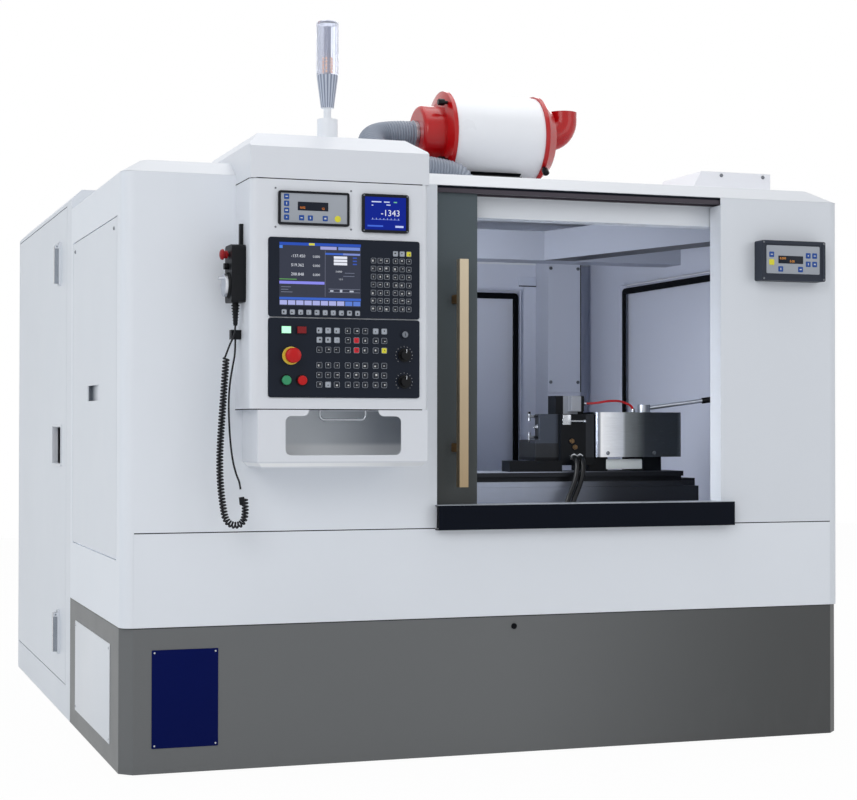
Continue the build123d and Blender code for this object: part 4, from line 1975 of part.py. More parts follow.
keep("mist_drum", mist_drum())
keep("mist_caps", *mist_caps())
keep("mist_hose", mist_hose())
beacon_base, beacon_lens = beacon()
keep("beacon_base", beacon_base)
keep("beacon_lens", beacon_lens)

for name, solids in NODES.items():
    shape = solids[0] if len(solids) == 1 else Compound(solids)
    export_step(shape, f"parts/{name}.step")
print(len(NODES), "nodes")
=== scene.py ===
import bmesh
import bpy
import numpy as np
from mathutils import Matrix, Vector


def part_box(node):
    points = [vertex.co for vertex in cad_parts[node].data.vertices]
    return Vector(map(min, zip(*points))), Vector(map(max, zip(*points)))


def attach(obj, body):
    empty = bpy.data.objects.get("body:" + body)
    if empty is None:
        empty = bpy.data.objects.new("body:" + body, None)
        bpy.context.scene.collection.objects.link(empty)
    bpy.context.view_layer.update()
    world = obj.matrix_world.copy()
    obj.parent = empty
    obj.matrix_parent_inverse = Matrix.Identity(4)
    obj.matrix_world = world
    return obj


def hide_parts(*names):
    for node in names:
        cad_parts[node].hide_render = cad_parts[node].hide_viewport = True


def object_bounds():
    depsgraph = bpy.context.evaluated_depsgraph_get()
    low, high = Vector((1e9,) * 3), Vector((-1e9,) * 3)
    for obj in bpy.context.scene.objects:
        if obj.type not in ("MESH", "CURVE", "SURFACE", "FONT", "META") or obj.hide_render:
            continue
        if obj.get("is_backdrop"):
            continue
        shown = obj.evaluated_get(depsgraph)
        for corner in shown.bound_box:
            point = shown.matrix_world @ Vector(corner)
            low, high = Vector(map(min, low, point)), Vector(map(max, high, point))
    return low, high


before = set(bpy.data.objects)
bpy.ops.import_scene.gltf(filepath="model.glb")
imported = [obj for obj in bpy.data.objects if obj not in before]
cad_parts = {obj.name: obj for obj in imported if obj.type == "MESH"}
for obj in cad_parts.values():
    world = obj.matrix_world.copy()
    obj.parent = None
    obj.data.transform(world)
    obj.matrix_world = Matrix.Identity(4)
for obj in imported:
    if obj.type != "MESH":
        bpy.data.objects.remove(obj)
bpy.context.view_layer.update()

# Camera: it stands in front of the machine and to the left, at waist height, and looks slightly up,
# so that the front is seen nearly flat and the left side strongly foreshortened.
eye = np.array([-1.8249, -5.7772, 0.8932])
yaw, pitch, roll = np.radians([19.02, 0.788, 0.065])
across = np.array([np.cos(yaw), -np.sin(yaw), 0.0])
ahead = np.array([np.sin(yaw) * np.cos(pitch), np.cos(yaw) * np.cos(pitch), np.sin(pitch)])
above = np.cross(across, ahead)
side = across * np.cos(roll) + above * np.sin(roll)
upward = above * np.cos(roll) - across * np.sin(roll)
lens = bpy.data.cameras.new("camera")
lens.lens = 77.26
lens.sensor_width = 36.0
lens.clip_end = 60.0
camera = bpy.data.objects.new("camera", lens)
bpy.context.collection.objects.link(camera)
camera.matrix_world = Matrix([*np.column_stack([side, upward, -ahead, eye]).tolist(), [0.0, 0.0, 0.0, 1.0]])
bpy.context.scene.camera = camera
bpy.context.scene.view_settings.view_transform = "Standard"


# Studio: a pale floor and a white surround, a large soft lamp high on the left, a fill on the right and
# others overhead, at the side and behind. Camera, glossy and clear rays see plain white.
class Value:
    """A socket of a node tree. Arithmetic on it adds Math nodes; make adds any other node."""

    def __init__(self, tree, socket=None):
        self.tree = tree
        self.socket = socket

    def make(self, kind, inputs=(), out=0, **settings):
        """Adds a node: its settings and ramp stops first, then socket values or links; gives one output."""
        node = self.tree.nodes.new("ShaderNode" + kind)
        stops = settings.pop("stops", None)
        for name, value in settings.items():
            setattr(node, name, value)
        if stops:
            ramp = node.color_ramp.elements
            for element, (position, colour) in zip((ramp[0], ramp[1]), (stops[0], stops[-1])):
                element.position = position
                element.color = colour
            for position, colour in stops[1:-1]:
                ramp.new(position).color = colour
        for name, value in dict(inputs).items():
            if isinstance(value, Value):
                self.tree.links.new(value.socket, node.inputs[name])
            else:
                node.inputs[name].default_value = value
        return Value(self.tree, node.outputs[out])

    def axis(self, index):
        """One coordinate of a place."""
        return self.make("SeparateXYZ", {0: self}, index)

    def rise(self, start, stop, low=0.0, high=1.0, kind="LINEAR"):
        """Goes from low to high while this value goes from start to stop, and stays there beyond them."""
        return self.make("MapRange", {0: self, 1: start, 2: stop, 3: low, 4: high}, interpolation_type=kind)

    def math(self, operation, first, second):
        return self.make("Math", {0: first, 1: second}, operation=operation)

    def __add__(self, other):
        return self.math("ADD", self, other)

    def __sub__(self, other):
        return self.math("SUBTRACT", self, other)

    def __rsub__(self, other):
        return self.math("SUBTRACT", other, self)

    def __mul__(self, other):
        return self.math("MULTIPLY", self, other)

    def __gt__(self, other):
        return self.math("GREATER_THAN", self, other)

    def __lt__(self, other):
        return self.math("LESS_THAN", self, other)

    def __or__(self, other):
        return self.math("MAXIMUM", self, other)


def rgb(red, green, blue):
    """A screen colour of 0 to 255 a channel as the linear light a shader takes."""
    share = np.array([red, green, blue]) / 255.0
    light = np.where(share <= 0.04045, share / 12.92, ((share + 0.055) / 1.055) ** 2.4)
    return (*light.tolist(), 1.0)


def seen(tree):
    """1 for rays that come straight from the camera, off something glossy or through glass."""
    rays = tree.nodes.new("ShaderNodeLightPath")
    straight, glossy, clear = (Value(tree, rays.outputs[f"Is {kind} Ray"])
                               for kind in ("Camera", "Glossy", "Transmission"))
    return straight | glossy | clear


world = bpy.data.worlds.new("studio")
bpy.context.scene.world = world
world.use_nodes = True
sky = Value(world.node_tree)
ambient = sky.make("Background", {"Color": (0.95, 0.97, 1.0, 1.0), "Strength": 0.5})
surround = sky.make("Background", {"Color": (1.0, 1.0, 1.0, 1.0), "Strength": 1.0})
mixed = sky.make("MixShader", {0: seen(world.node_tree), 1: ambient, 2: surround})
world.node_tree.links.new(mixed.socket, world.node_tree.nodes["World Output"].inputs["Surface"])

floor_reach = 9.0
floor_corners = floor_reach * np.array([(-1, -1, 0), (1, -1, 0), (1, 1, 0), (-1, 1, 0)])
floor_mesh = bpy.data.meshes.new("floor")
floor_mesh.from_pydata(floor_corners.tolist(), [], [(0, 1, 2, 3)])
floor = bpy.data.objects.new("floor", floor_mesh)
bpy.context.collection.objects.link(floor)
floor_paint = bpy.data.materials.new("floor_pale")
floor_paint.use_nodes = True
tree = floor_paint.node_tree
pale_floor = tree.nodes["Principled BSDF"]
pale_floor.inputs["Base Color"].default_value = (0.86, 0.87, 0.88, 1.0)
pale_floor.inputs["Roughness"].default_value = 0.75
flat = Value(tree, pale_floor.outputs[0])
plain = flat.make("Emission", {"Color": (1.0, 1.0, 1.0, 1.0), "Strength": 1.0})
both = flat.make("MixShader", {0: seen(tree) * 0.97, 1: flat, 2: plain})
tree.links.new(both.socket, tree.nodes["Material Output"].inputs["Surface"])
floor_mesh.materials.append(floor_paint)
floor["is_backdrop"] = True


def lamp(name, place, target, width, height, power, colour=(1.0, 1.0, 1.0)):
    """A flat soft lamp at a place, turned towards a target."""
    light = bpy.data.lights.new(name, "AREA")
    light.shape = "RECTANGLE"
    light.size = width
    light.size_y = height
    light.energy = power
    light.color = colour
    holder = bpy.data.objects.new(name, light)
    bpy.context.collection.objects.link(holder)
    aim = Vector(target) - Vector(place)
    holder.matrix_world = Matrix.Translation(place) @ aim.to_track_quat("-Z", "Y").to_matrix().to_4x4()


lamp("key_lamp", (-3.4, -5.0, 3.4), (-0.2, -1.0, 0.8), 3.2, 2.6, 66.0)
lamp("fill_lamp", (3.8, -5.0, 2.4), (0.3, -1.0, 0.9), 2.6, 2.6, 26.0)
lamp("side_lamp", (-5.4, 0.2, 2.2), (-1.0, 0.0, 0.8), 2.8, 2.8, 22.0, (0.72, 0.88, 1.0))
lamp("overhead_lamp", (0.0, -0.6, 4.6), (0.0, -0.4, 0.0), 3.4, 3.4, 58.0)
lamp("rear_lamp", (2.5, 4.5, 3.5), (0.0, 0.6, 0.9), 3.0, 3.0, 60.0)


# Skirt: a ring of grey powder-coated sheet round the foot of the machine, hung on the enclosure a little
# off the floor. Plain plates are riveted on its front and left side, and a plug closes a hole near its top.
def dressed(name, look, **constants):
    """A material: constants sit on the shader's own sockets, and look gives what varies over the surface."""
    material = bpy.data.materials.new(name)
    material.use_nodes = True
    nodes = material.node_tree.nodes
    shader = nodes["Principled BSDF"]
    for socket, value in constants.items():
        shader.inputs[socket.replace("_", " ")].default_value = value
    place = Value(material.node_tree, nodes.new("ShaderNodeTexCoord").outputs["Object"])
    for socket, value in look(place).items():
        material.node_tree.links.new(value.socket, shader.inputs[socket])
    return material


def cloud(place, scale, detail=3.0, stretch=(1.0, 1.0, 1.0)):
    """Soft noise of about 0 to 1 over the piece, with some spots to the metre, drawn out by a stretch."""
    spread = place.make("Mapping", {"Vector": place, "Scale": stretch}, vector_type="POINT")
    return place.make("TexNoise", {"Vector": spread, "Scale": scale, "Detail": detail}, "Fac")


def bump(place, height, strength, depth, edge):
    """A normal that a height roughens, with the piece's sharp edges rounded by a small radius."""
    rounded = place.make("Bevel", {"Radius": edge}, samples=4)
    return place.make("Bump", {"Strength": strength, "Distance": depth, "Height": height, "Normal": rounded})


def blend(factor, first, second):
    """A colour between two colours, or values that give them."""
    return factor.make("Mix", {0: factor, 6: first, 7: second}, 2, data_type="RGBA")


def paint(made, zone, colour):
    """Lays a colour over a finish where its zone is 1."""
    made["Base Color"] = blend(zone, made["Base Color"], colour)


def shaded(colour, share):
    """A colour made lighter or darker by a share."""
    return (*[min(1.0, channel * share) for channel in colour[:3]], 1.0)


def powder_coat(colour, rough=0.4, peel=0.10):
    """Baked paint on sheet: faint clouds of tone, orange-peel grain, handled patches that shine less."""
    def look(place):
        return {
            "Base Color": blend(cloud(place, 1.7), shaded(colour, 0.965), shaded(colour, 1.03)),
            "Roughness": cloud(place, 9.0, 4.0) * 0.12 + (rough - 0.06),
            "Normal": bump(place, cloud(place, 620.0, 1.0), peel, 0.0004, 0.0016),
        }
    return look


def wear(nodes, material):
    """Gives CAD nodes one material."""
    for node in nodes:
        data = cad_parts[node].data
        data.materials.clear()
        data.materials.append(material)


def shell(name, grids, material, slot, body="machine", around=True, ends=True, tint=None, sharp=35.0):
    """A piece of like grids of points (grids, rows, columns, 3): rows are skinned to each other, columns
    close round where around is set, and the first and last rows are shut by flat faces where ends is set."""
    grids = np.asarray(grids, float)
    grids = grids[None] if grids.ndim == 3 else grids
    count, rows, columns = grids.shape[:3]
    index = np.arange(count * rows * columns).reshape(count, rows, columns)
    here = index if around else index[:, :, :-1]
    beside = np.roll(index, -1, 2) if around else index[:, :, 1:]
    faces = np.stack([here[:, :-1], beside[:, :-1], beside[:, 1:], here[:, 1:]], -1).reshape(-1, 4).tolist()
    if ends:
        faces += index[:, 0].tolist() + index[:, -1, ::-1].tolist()
    mesh = bpy.data.meshes.new(name)
    mesh.from_pydata(grids.reshape(-1, 3).tolist(), [], faces)
    if tint is not None:
        colours = np.ones((count, rows * columns, 4))
        colours[:, :, :3] = np.asarray(tint, float)[:, None, :3]
        mesh.color_attributes.new("tint", "FLOAT_COLOR", "POINT").data.foreach_set("color", colours.ravel())
    whole = bmesh.new()
    whole.from_mesh(mesh)
    bmesh.ops.remove_doubles(whole, verts=whole.verts, dist=1e-6)
    bmesh.ops.recalc_face_normals(whole, faces=whole.faces)
    whole.to_mesh(mesh)
    whole.free()
    mesh.polygons.foreach_set("use_smooth", np.ones(len(mesh.polygons), bool))
    mesh.set_sharp_from_angle(angle=np.radians(sharp))
    mesh.materials.append(material)
    piece = bpy.data.objects.new(name, mesh)
    bpy.context.collection.objects.link(piece)
    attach(piece, body)
    return piece


def plates(places, right, up, size, height, corner=0.0, bevel=0.0004, steps=4):
    """Flat pads with rounded corners: the outline is a rounded rectangle of quarter circles, drawn up
    from its place along the outward direction and drawn in a little at the top edge."""
    places = np.atleast_2d(np.asarray(places, float))
    right, up = np.asarray(right, float), np.asarray(up, float)
    out = np.cross(right, up)
    size = np.broadcast_to(np.asarray(size, float), (len(places), 2))
    corner = max(min(corner, size.min() / 2 - 1e-6), 1e-6)
    angle = (np.arange(4)[:, None] * 90.0 + np.linspace(0.0, 90.0, steps)[None]) * np.pi / 180.0
    signs = np.array([[1, 1], [-1, 1], [-1, -1], [1, -1]])[:, None]
    arc = np.stack([np.cos(angle), np.sin(angle)], -1)
    levels = np.array([[0.0, 0.0], [0.0, height - bevel], [bevel * 0.3, height - bevel * 0.3],
                       [bevel, height]])
    middle = signs * (size[:, None, None, None, :] / 2 - corner)
    inset = corner - levels[:, 0]
    outline = (middle + arc * inset[None, :, None, None, None]).reshape(len(places), 4, -1, 2)
    return (places[:, None, None] + outline[..., :1] * right + outline[..., 1:] * up
            + levels[None, :, 1, None, None] * out)


LEFTWARD, FORWARD, REARWARD = (-1.0, 0.0, 0.0), (0.0, -1.0, 0.0), (0.0, 1.0, 0.0)
UP, ALONG_X = (0.0, 0.0, 1.0), (1.0, 0.0, 0.0)


def facing(name, spots, plane, size, height, material, slot, corner=0.0, bevel=0.0004, **more):
    """Pads on a face that looks forward: each spot is an x and a height on the plane of that y."""
    places = [(x, plane, z) for x, z in spots]
    return shell(name, plates(places, ALONG_X, UP, size, height, corner, bevel), material, slot, **more)


def scuffed_and_shaded(colour):
    """Skirt paint: powder coat with scuffs near the floor, painted shade darker to the right, and a dark band
    of painted shade at its top.
    """
    def look(place):
        made = powder_coat(colour, 0.46, 0.12)(place)
        height = place.axis(2)
        scuff = cloud(place, 26.0, 6.0, (1.0, 1.0, 0.25))
        # Painted shade: the skirt grows darker towards its right end.
        paint(made, place.axis(0).rise(-0.1, 1.0, kind="SMOOTHSTEP"), shaded(colour, 0.42))
        paint(made, (scuff - 0.5) * height.rise(0.30, 0.0, 0.0, 0.55) * 0.5, shaded(colour, 1.1))
        # Painted shade: a dark band along the top stands for the shadow in the gap under the apron.
        paint(made, height > skirt_high[2] - skirt_seam, rgb(24, 26, 28))
        return made
    return look


def brushed(colour, rough=0.32, along=(6.0, 6.0, 220.0), depth=0.06):
    """Bare metal ground or brushed along one direction: streaks in shine, height and a little in tone."""
    def look(place):
        streak = cloud(place, 4.0, 6.0, along)
        smear = cloud(place, 7.0, 4.0)
        return {
            "Base Color": blend(streak * 0.6 + smear * 0.4, shaded(colour, 0.86), shaded(colour, 1.1)),
            "Roughness": streak * 0.16 + smear * 0.14 + (rough - 0.15),
            "Normal": bump(place, streak, depth, 0.0003, 0.0008),
        }
    return look


skirt_low, skirt_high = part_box("plinth_skirt")
skirt_seam, hair, plate_thick = 0.0028, 0.0002, 0.0014
front, left_side = skirt_low[1] - hair, skirt_low[0] - hair
wear(["plinth_skirt"], dressed("skirt_grey", scuffed_and_shaded(rgb(104, 106, 107)), Specular_IOR_Level=0.4))
navy = dressed("plate_navy", powder_coat(rgb(1, 14, 76), 0.4, 0.05), Specular_IOR_Level=0.06)
plate_white = dressed("plate_white", powder_coat(rgb(226, 229, 234), 0.4, 0.05))
bright = dressed("bright_steel", brushed(rgb(176, 180, 186), 0.26, (90.0, 90.0, 90.0)), Metallic=1.0)
rubber = dressed("rubber_black", powder_coat(rgb(6, 8, 12), 0.62, 0.25), Specular_IOR_Level=0.08)


def riveted(name, middle, right, size, corner, inset, head, head_rise, material, slot):
    """A thin plate on an upright face, with a round rivet in each corner at an inset from its edges."""
    right, up = np.asarray(right), np.asarray(UP)
    out = np.cross(right, up)
    shell(name, plates([middle], right, UP, size, plate_thick, corner), material, slot)
    reach = np.asarray(size) / 2 - inset
    heads = [middle + out * plate_thick + right * reach[0] * across + up * reach[1] * rise
             for across in (-1, 1) for rise in (-1, 1)]
    shell(name + "_rivets", plates(heads, right, UP, (head, head), head_rise, head / 2), bright, "steel")


riveted("front_plate", (-0.877, front, 0.195), ALONG_X, (0.172, 0.250), 0.002, 0.007, 0.005, 0.0012,
        navy, "grey_paint")
riveted("side_plate", (left_side, -0.645, 0.190), FORWARD, (0.620, 0.262), 0.004, 0.012, 0.007, 0.0016,
        plate_white, "white_paint")
facing("skirt_plug", [(0.027, 0.348)], front, (0.016, 0.016), 0.003, rubber, "rubber", 0.008, 0.0012)


# Bed: one ribbed grey casting on levelling pads, painted where it shows and ground bright on the ways
# that the table and the wheelhead slide on. Its foot lugs take the anchor bolts.
def within(place, low, high):
    """1 inside a box of the machine's frame and 0 outside it."""
    mask = None
    for axis in range(3):
        value = place.axis(axis)
        inside = (value > low[axis]) * (value < high[axis])
        mask = inside if mask is None else mask * inside
    return mask


def casting(colour, zones=()):
    """Painted cast iron: filled and sanded skin with soft hollows; ground zones are bare bright metal."""
    def look(place):
        made = powder_coat(colour, 0.48, 0.1)(place)
        height = cloud(place, 16.0, 3.0) * 0.8 + cloud(place, 240.0, 2.0) * 0.2
        made["Normal"] = bump(place, height, 0.16, 0.002, 0.0035)
        for low, high in zones:
            bare = within(place, low, high)
            paint(made, bare, rgb(150, 155, 162))
            made["Metallic"] = made["Metallic"] | bare if "Metallic" in made else bare
            made["Roughness"] = made["Roughness"] - bare * 0.16
        return made
    return look


bed_ways = [((-1.0, -0.90, 0.5995), (0.9, 0.6, 0.70)), ((-1.1, -1.1, -0.1), (1.1, 0.8, 0.0598))]
wear(["bed"], dressed("bed_iron", casting(rgb(112, 122, 124), bed_ways)))


# Enclosure: folded sheet panels in pale grey-white powder coat, bolted edge to edge with open seams.
# The side door and the service door are trays of the same sheet, flush in the walls.
outer_white = rgb(224, 228, 234)
sheet_white = dressed("sheet_white", powder_coat(outer_white), Specular_IOR_Level=0.42)
wear(["right_column"], sheet_white)
# Painted light: the apron and the left column get a paler copy of the white sheet paint, making up for the
# lamp light that reaches them less.
wear(["front_apron", "left_column"],
     dressed("sheet_front", powder_coat(rgb(233, 237, 243)), Specular_IOR_Level=0.42))


def lined(place):
    """Walls and doors: white outside, grey-blue towards the chamber, painted shade in the side door's grip.
    """
    made = powder_coat(outer_white)(place)
    walls = within(place, (-0.6, -0.99, 0.50), (1.0394, 0.6785, 1.5))
    hatch_back = within(place, (-0.165, 0.6795, 0.545), (0.775, 0.6804, 1.415))
    grip = within(place, (-1.0385, -0.70, 0.94), (-1.0, -0.50, 1.05))
    paint(made, walls | hatch_back, rgb(210, 215, 230))
    # Painted shade: the grip's recess is darkened, most towards its rear end.
    paint(made, grip * place.axis(1).rise(-0.66, -0.56), rgb(96, 103, 112))
    return made


def roof_colours(place):
    """Roof: white sheet, a paler box at the right and a black saddle under the collector."""
    made = powder_coat(rgb(219, 222, 227))(place)
    paint(made, within(place, (0.60, -0.96, 1.5785), (1.0, -0.2, 1.70)), rgb(246, 247, 252))
    paint(made, within(place, (0.045, -0.66, 1.5785), (0.241, -0.48, 1.645)), rgb(14, 15, 18))
    return made


def turned(profile, place, axis, sides=32, share=(0.0, 1.0)):
    """A lathe form: profile points (radius, height along the axis) carried round the axis from a place."""
    profile, axis = np.asarray(profile, float), np.asarray(axis, float) / np.linalg.norm(axis)
    start = ALONG_X if abs(axis[2]) > 0.9 else UP
    first = np.asarray(start, float) - axis * np.dot(axis, start)
    first = first / np.linalg.norm(first)
    second = np.cross(axis, first)
    angle = 2 * np.pi * (share[0] + (share[1] - share[0]) * np.arange(sides) / sides)[:, None]
    ring = np.cos(angle) * first + np.sin(angle) * second
    return np.asarray(place, float) + profile[:, None, :1] * ring[None] + profile[:, None, 1:] * axis


screw_steel = dressed("screw_steel", brushed(rgb(120, 124, 130), 0.34, (60.0, 60.0, 60.0)), Metallic=1.0)


def screws(name, places, axis, radius, body="machine"):
    """Button-head screws: a dome of a few rings with a sunk socket in its middle."""
    dome = radius * np.array([(1.0, 0.0), (1.0, 0.2), (0.85, 0.5), (0.5, 0.62), (0.42, 0.62), (0.4, 0.3)])
    shell(name, np.stack([turned(dome, place, axis, 12) for place in places]), screw_steel, "steel", body)


wear(["right_side_panel", "rear_panel", "service_door", "side_door"],
     dressed("sheet_lined", lined, Specular_IOR_Level=0.42))
wear(["roof_panel"], dressed("roof_sheet", roof_colours, Specular_IOR_Level=0.42))
# Painted shade: dark strips laid in seams and gaps stand for the shadow in them; the same black is the
# collector's nameplate.
shade_strip_and_plate_black = dressed("shade_strip_and_plate_black", powder_coat(rgb(26, 28, 32), 0.7, 0.2), Specular_IOR_Level=0.1)
apron_top, seam_tall, seam_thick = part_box("front_apron")[1][2], 0.0028, 0.0004
# Painted shade: dark strips along the apron's top edge, in its seams.
facing("apron_seams", [(-0.6045, apron_top), (0.8475, apron_top)], front + seam_thick,
       [(0.809, seam_tall), (0.323, seam_tall)], seam_thick, shade_strip_and_plate_black, "white_paint")
screws("roof_box_screws", [(x, -0.9402, 1.631) for x in (0.755, 0.893)], FORWARD, 0.0055)
door_screws = [(left_side, y, 1.404) for y in (-1.000, -0.304)]
screws("side_door_screws", door_screws, LEFTWARD, 0.005, "side_door_leaf")


# Chamber: grey-blue painted liner with a floor tray round the bed, a header and beams under the roof and
# a boxed corner column with a screwed cover plate. Black rubber edges seal the hatch and the service door.
def liner_colours(place):
    """Liner paint: a white header, beams darkened by painted shade with a dark painted-shade underside to the
    side beam, and splash marks low down.
    """
    made = powder_coat(rgb(204, 209, 223), 0.38)(place)
    paint(made, within(place, (-1.1, -1.06, 1.43), (1.1, -0.985, 1.56)), rgb(232, 236, 242))
    # Painted shade: the beams under the roof carry the liner paint darkened.
    paint(made, within(place, (-0.6, -0.985, 1.4425), (1.05, 0.02, 1.56)), rgb(168, 173, 187))
    # Painted shade: a dark strip on the side beam's underside.
    paint(made, within(place, (0.5, -0.985, 1.4425), (1.05, -0.12, 1.4436)), rgb(24, 26, 33))
    splash = cloud(place, 18.0, 5.0, (1.0, 1.0, 0.35)).rise(0.40, 0.72, kind="SMOOTHSTEP")
    paint(made, splash * place.axis(2).rise(0.95, 0.53, 0.0, 0.7) * 0.5, rgb(96, 102, 112))
    return made


def frame_strip(low, high, corner, right, plane, profile, steps=6):
    """A profile of (inward, outward) points carried round an upright rounded rectangle that faces out."""
    right, up, profile = np.asarray(right, float), np.asarray(UP), np.asarray(profile, float)
    out = np.cross(right, up)
    angle = ((np.arange(4)[:, None] * 90.0 + np.linspace(0.0, 90.0, steps)[None]) * np.pi / 180.0).ravel()
    half = (np.asarray(high) - np.asarray(low)) / 2
    signs = np.repeat(np.array([[1, 1], [-1, 1], [-1, -1], [1, -1]]), steps, 0)
    ray = np.stack([np.cos(angle), np.sin(angle)], -1)
    line = (np.asarray(low) + np.asarray(high)) / 2 + signs * (half - corner)
    ring = line[:, None] + ray[:, None] * (corner - profile[None, :, :1])
    ring = np.concatenate([ring, ring[:1]])
    lift = np.broadcast_to(profile[None, :, 1:], (*ring.shape[:2], 1))
    return np.asarray(plane, float) + ring[..., :1] * right + ring[..., 1:] * up + lift * out


wear(["chamber_liner"], dressed("liner_grey", liner_colours))
seal = [(-0.004, 0.0), (0.018, 0.0), (0.018, 0.004), (0.014, 0.007), (0.0, 0.007), (-0.004, 0.004)]
seal_low, seal_high, hatch_face, service_face = 0.574, 1.386, 0.6535, 1.0225
hatch = frame_strip((-0.128, seal_low), (0.744, seal_high), 0.012, ALONG_X, (0.0, hatch_face, 0.0), seal)
shell("hatch_seal", hatch, rubber, "rubber", ends=False)
service = frame_strip((-0.306, seal_low), (0.686, seal_high), 0.012, FORWARD, (service_face, 0.0, 0.0), seal)
shell("service_seal", service, rubber, "rubber", ends=False)
column_face, edge_line = 0.5545, 0.0035
cover_corners = [(x, column_face, z) for x in (0.840, 0.950) for z in (1.055, 1.480)]
screws("cover_plate_screws", cover_corners, FORWARD, 0.0065)
# Painted shade: dark strips along the cover plate's right and top edges stand for the shadow in its gap.
facing("cover_plate_edges", [(0.9608, 1.258), (0.896, 1.4985)], column_face + 0.0001,
       [(edge_line, 0.480), (0.133, edge_line)], seam_thick, shade_strip_and_plate_black, "liner_paint")
bracket_grey = dressed("bracket_grey", powder_coat(rgb(206, 212, 228)))
bracket_x, bracket_wide, bracket_back, bracket_thick = 0.793, 0.070, 0.6796, 0.010
facing("wall_bracket", [(bracket_x, 1.436)], bracket_back, (bracket_wide, 0.036), bracket_thick,
       bracket_grey, "liner_paint", 0.001)
# Painted shade: a dark strip along the bracket's lower edge.
facing("wall_bracket_line", [(bracket_x, 1.4195)], bracket_back - bracket_thick - hair, (bracket_wide, 0.004),
       0.0005, shade_strip_and_plate_black, "liner_paint")
lamp("chamber_lamp", (-0.42, -0.92, 1.10), (0.38, 0.58, 0.04), 0.22, 0.6, 15.4, (0.95, 0.97, 1.0))


# Tables: the slide runs on the bed's ways and carries the swivel table, both ground cast iron that is
# dulled by coolant, with a bright edge along the top.
def ground_iron(place):
    """Ground iron: lengthways streaks and faint stains; a dark band under the top edge as painted shade of a
    slot, and darker to the right.
    """
    made = brushed(rgb(150, 156, 170), 0.4, (6.0, 240.0, 240.0), 0.08)(place)
    z = place.axis(2)
    stain = cloud(place, 7.0, 5.0, (1.0, 1.0, 0.5))
    darker_right = place.axis(0).rise(0.22, 0.50, 0.0, 0.92, "SMOOTHSTEP")
    paint(made, stain * 0.35, rgb(92, 97, 108))
    # Painted shade: the band under the top edge is the shadow of a slot; the iron is also painted darker
    # towards its right.
    paint(made, (z > 0.7275) * (z < 0.7545) | darker_right, rgb(30, 32, 37))
    made["Roughness"] = made["Roughness"] + stain * 0.12
    return made


wear(["table_slide", "swivel_table"], dressed("ground_iron", ground_iron, Metallic=0.75))


# Workhead: a grey-painted casting with a motor box behind it, and a ground spindle that carries the
# faceplate, driver and centre.
# Painted shade: the workhead's grey is darker than the wheelhead's, against the strong light near the chamber
# lamp.
wear(["workhead"], dressed("workhead_paint", casting(rgb(84, 91, 99))))
wear(["work_spindle"], bright)


# Tailstock: machined steel blocks on two feet with the dresser on top. A bright folded cover keeps
# coolant off its body, and a hand lever on top draws the quill back.
def tailstock_colours(place):
    """Tailstock blocks: dark steel under a film of oil, grey plate and dresser holder, blackened valve,
    dresser and foot.
    """
    made = brushed(rgb(46, 48, 52), 0.4, (30.0, 30.0, 120.0), 0.1)(place)
    plate = within(place, (0.20, -0.78, 0.8405), (0.3185, -0.70, 0.94))
    holder = within(place, (0.352, -0.78, 0.9275), (0.399, -0.60, 1.0))
    pins = within(place, (0.15, -0.80, 0.8505), (0.2585, -0.5, 0.94))
    valve = within(place, (0.3205, -0.78, 0.70), (0.402, -0.7285, 0.94))
    dresser_left = within(place, (0.20, -0.78, 0.9275), (0.352, -0.5, 1.0))
    dresser_right = within(place, (0.399, -0.78, 0.9275), (0.5, -0.5, 1.0))
    foot = within(place, (0.10, -0.80, 0.70), (0.80, -0.5, 0.7985))
    black = valve | dresser_left | dresser_right | foot
    paint(made, plate, rgb(60, 65, 75))
    paint(made, pins | holder, rgb(140, 144, 152))
    paint(made, black, rgb(8, 11, 16))
    made["Metallic"] = (1.0 - black) * 0.7
    return made


def cover_colours(place):
    """Folded cover: brushed sheet with a painted reflection that is mirror-bright near its left end, and
    painted shade that darkens it towards the right.
    """
    made = brushed(rgb(120, 125, 138), 0.3, (8.0, 160.0, 160.0), 0.05)(place)
    # Painted reflection and shade: the ramp runs from a bright band near the left end to dark at the right.
    shine = place.make("ValToRGB", {0: place.axis(0).rise(0.43, 0.72)}, stops=[
        (0.0, rgb(96, 101, 112)), (0.045, rgb(124, 128, 138)), (0.062, rgb(240, 242, 246)),
        (0.30, rgb(232, 235, 240)), (0.335, rgb(156, 160, 160)), (0.46, rgb(146, 150, 148)),
        (0.56, rgb(90, 94, 96)), (1.0, rgb(82, 86, 88))])
    streak = cloud(place, 4.0, 6.0, (8.0, 160.0, 160.0))
    made["Base Color"] = blend(streak * 0.22, shine, rgb(62, 66, 72))
    return made


def lever_colours(place):
    """Hand lever: a bright rod with a black moulded grip on its end."""
    made = brushed(rgb(168, 173, 182), 0.42, (90.0, 90.0, 90.0))(place)
    bare = place.axis(0) < 0.7865
    paint(made, 1.0 - bare, rgb(10, 11, 14))
    made["Metallic"] = bare
    return made


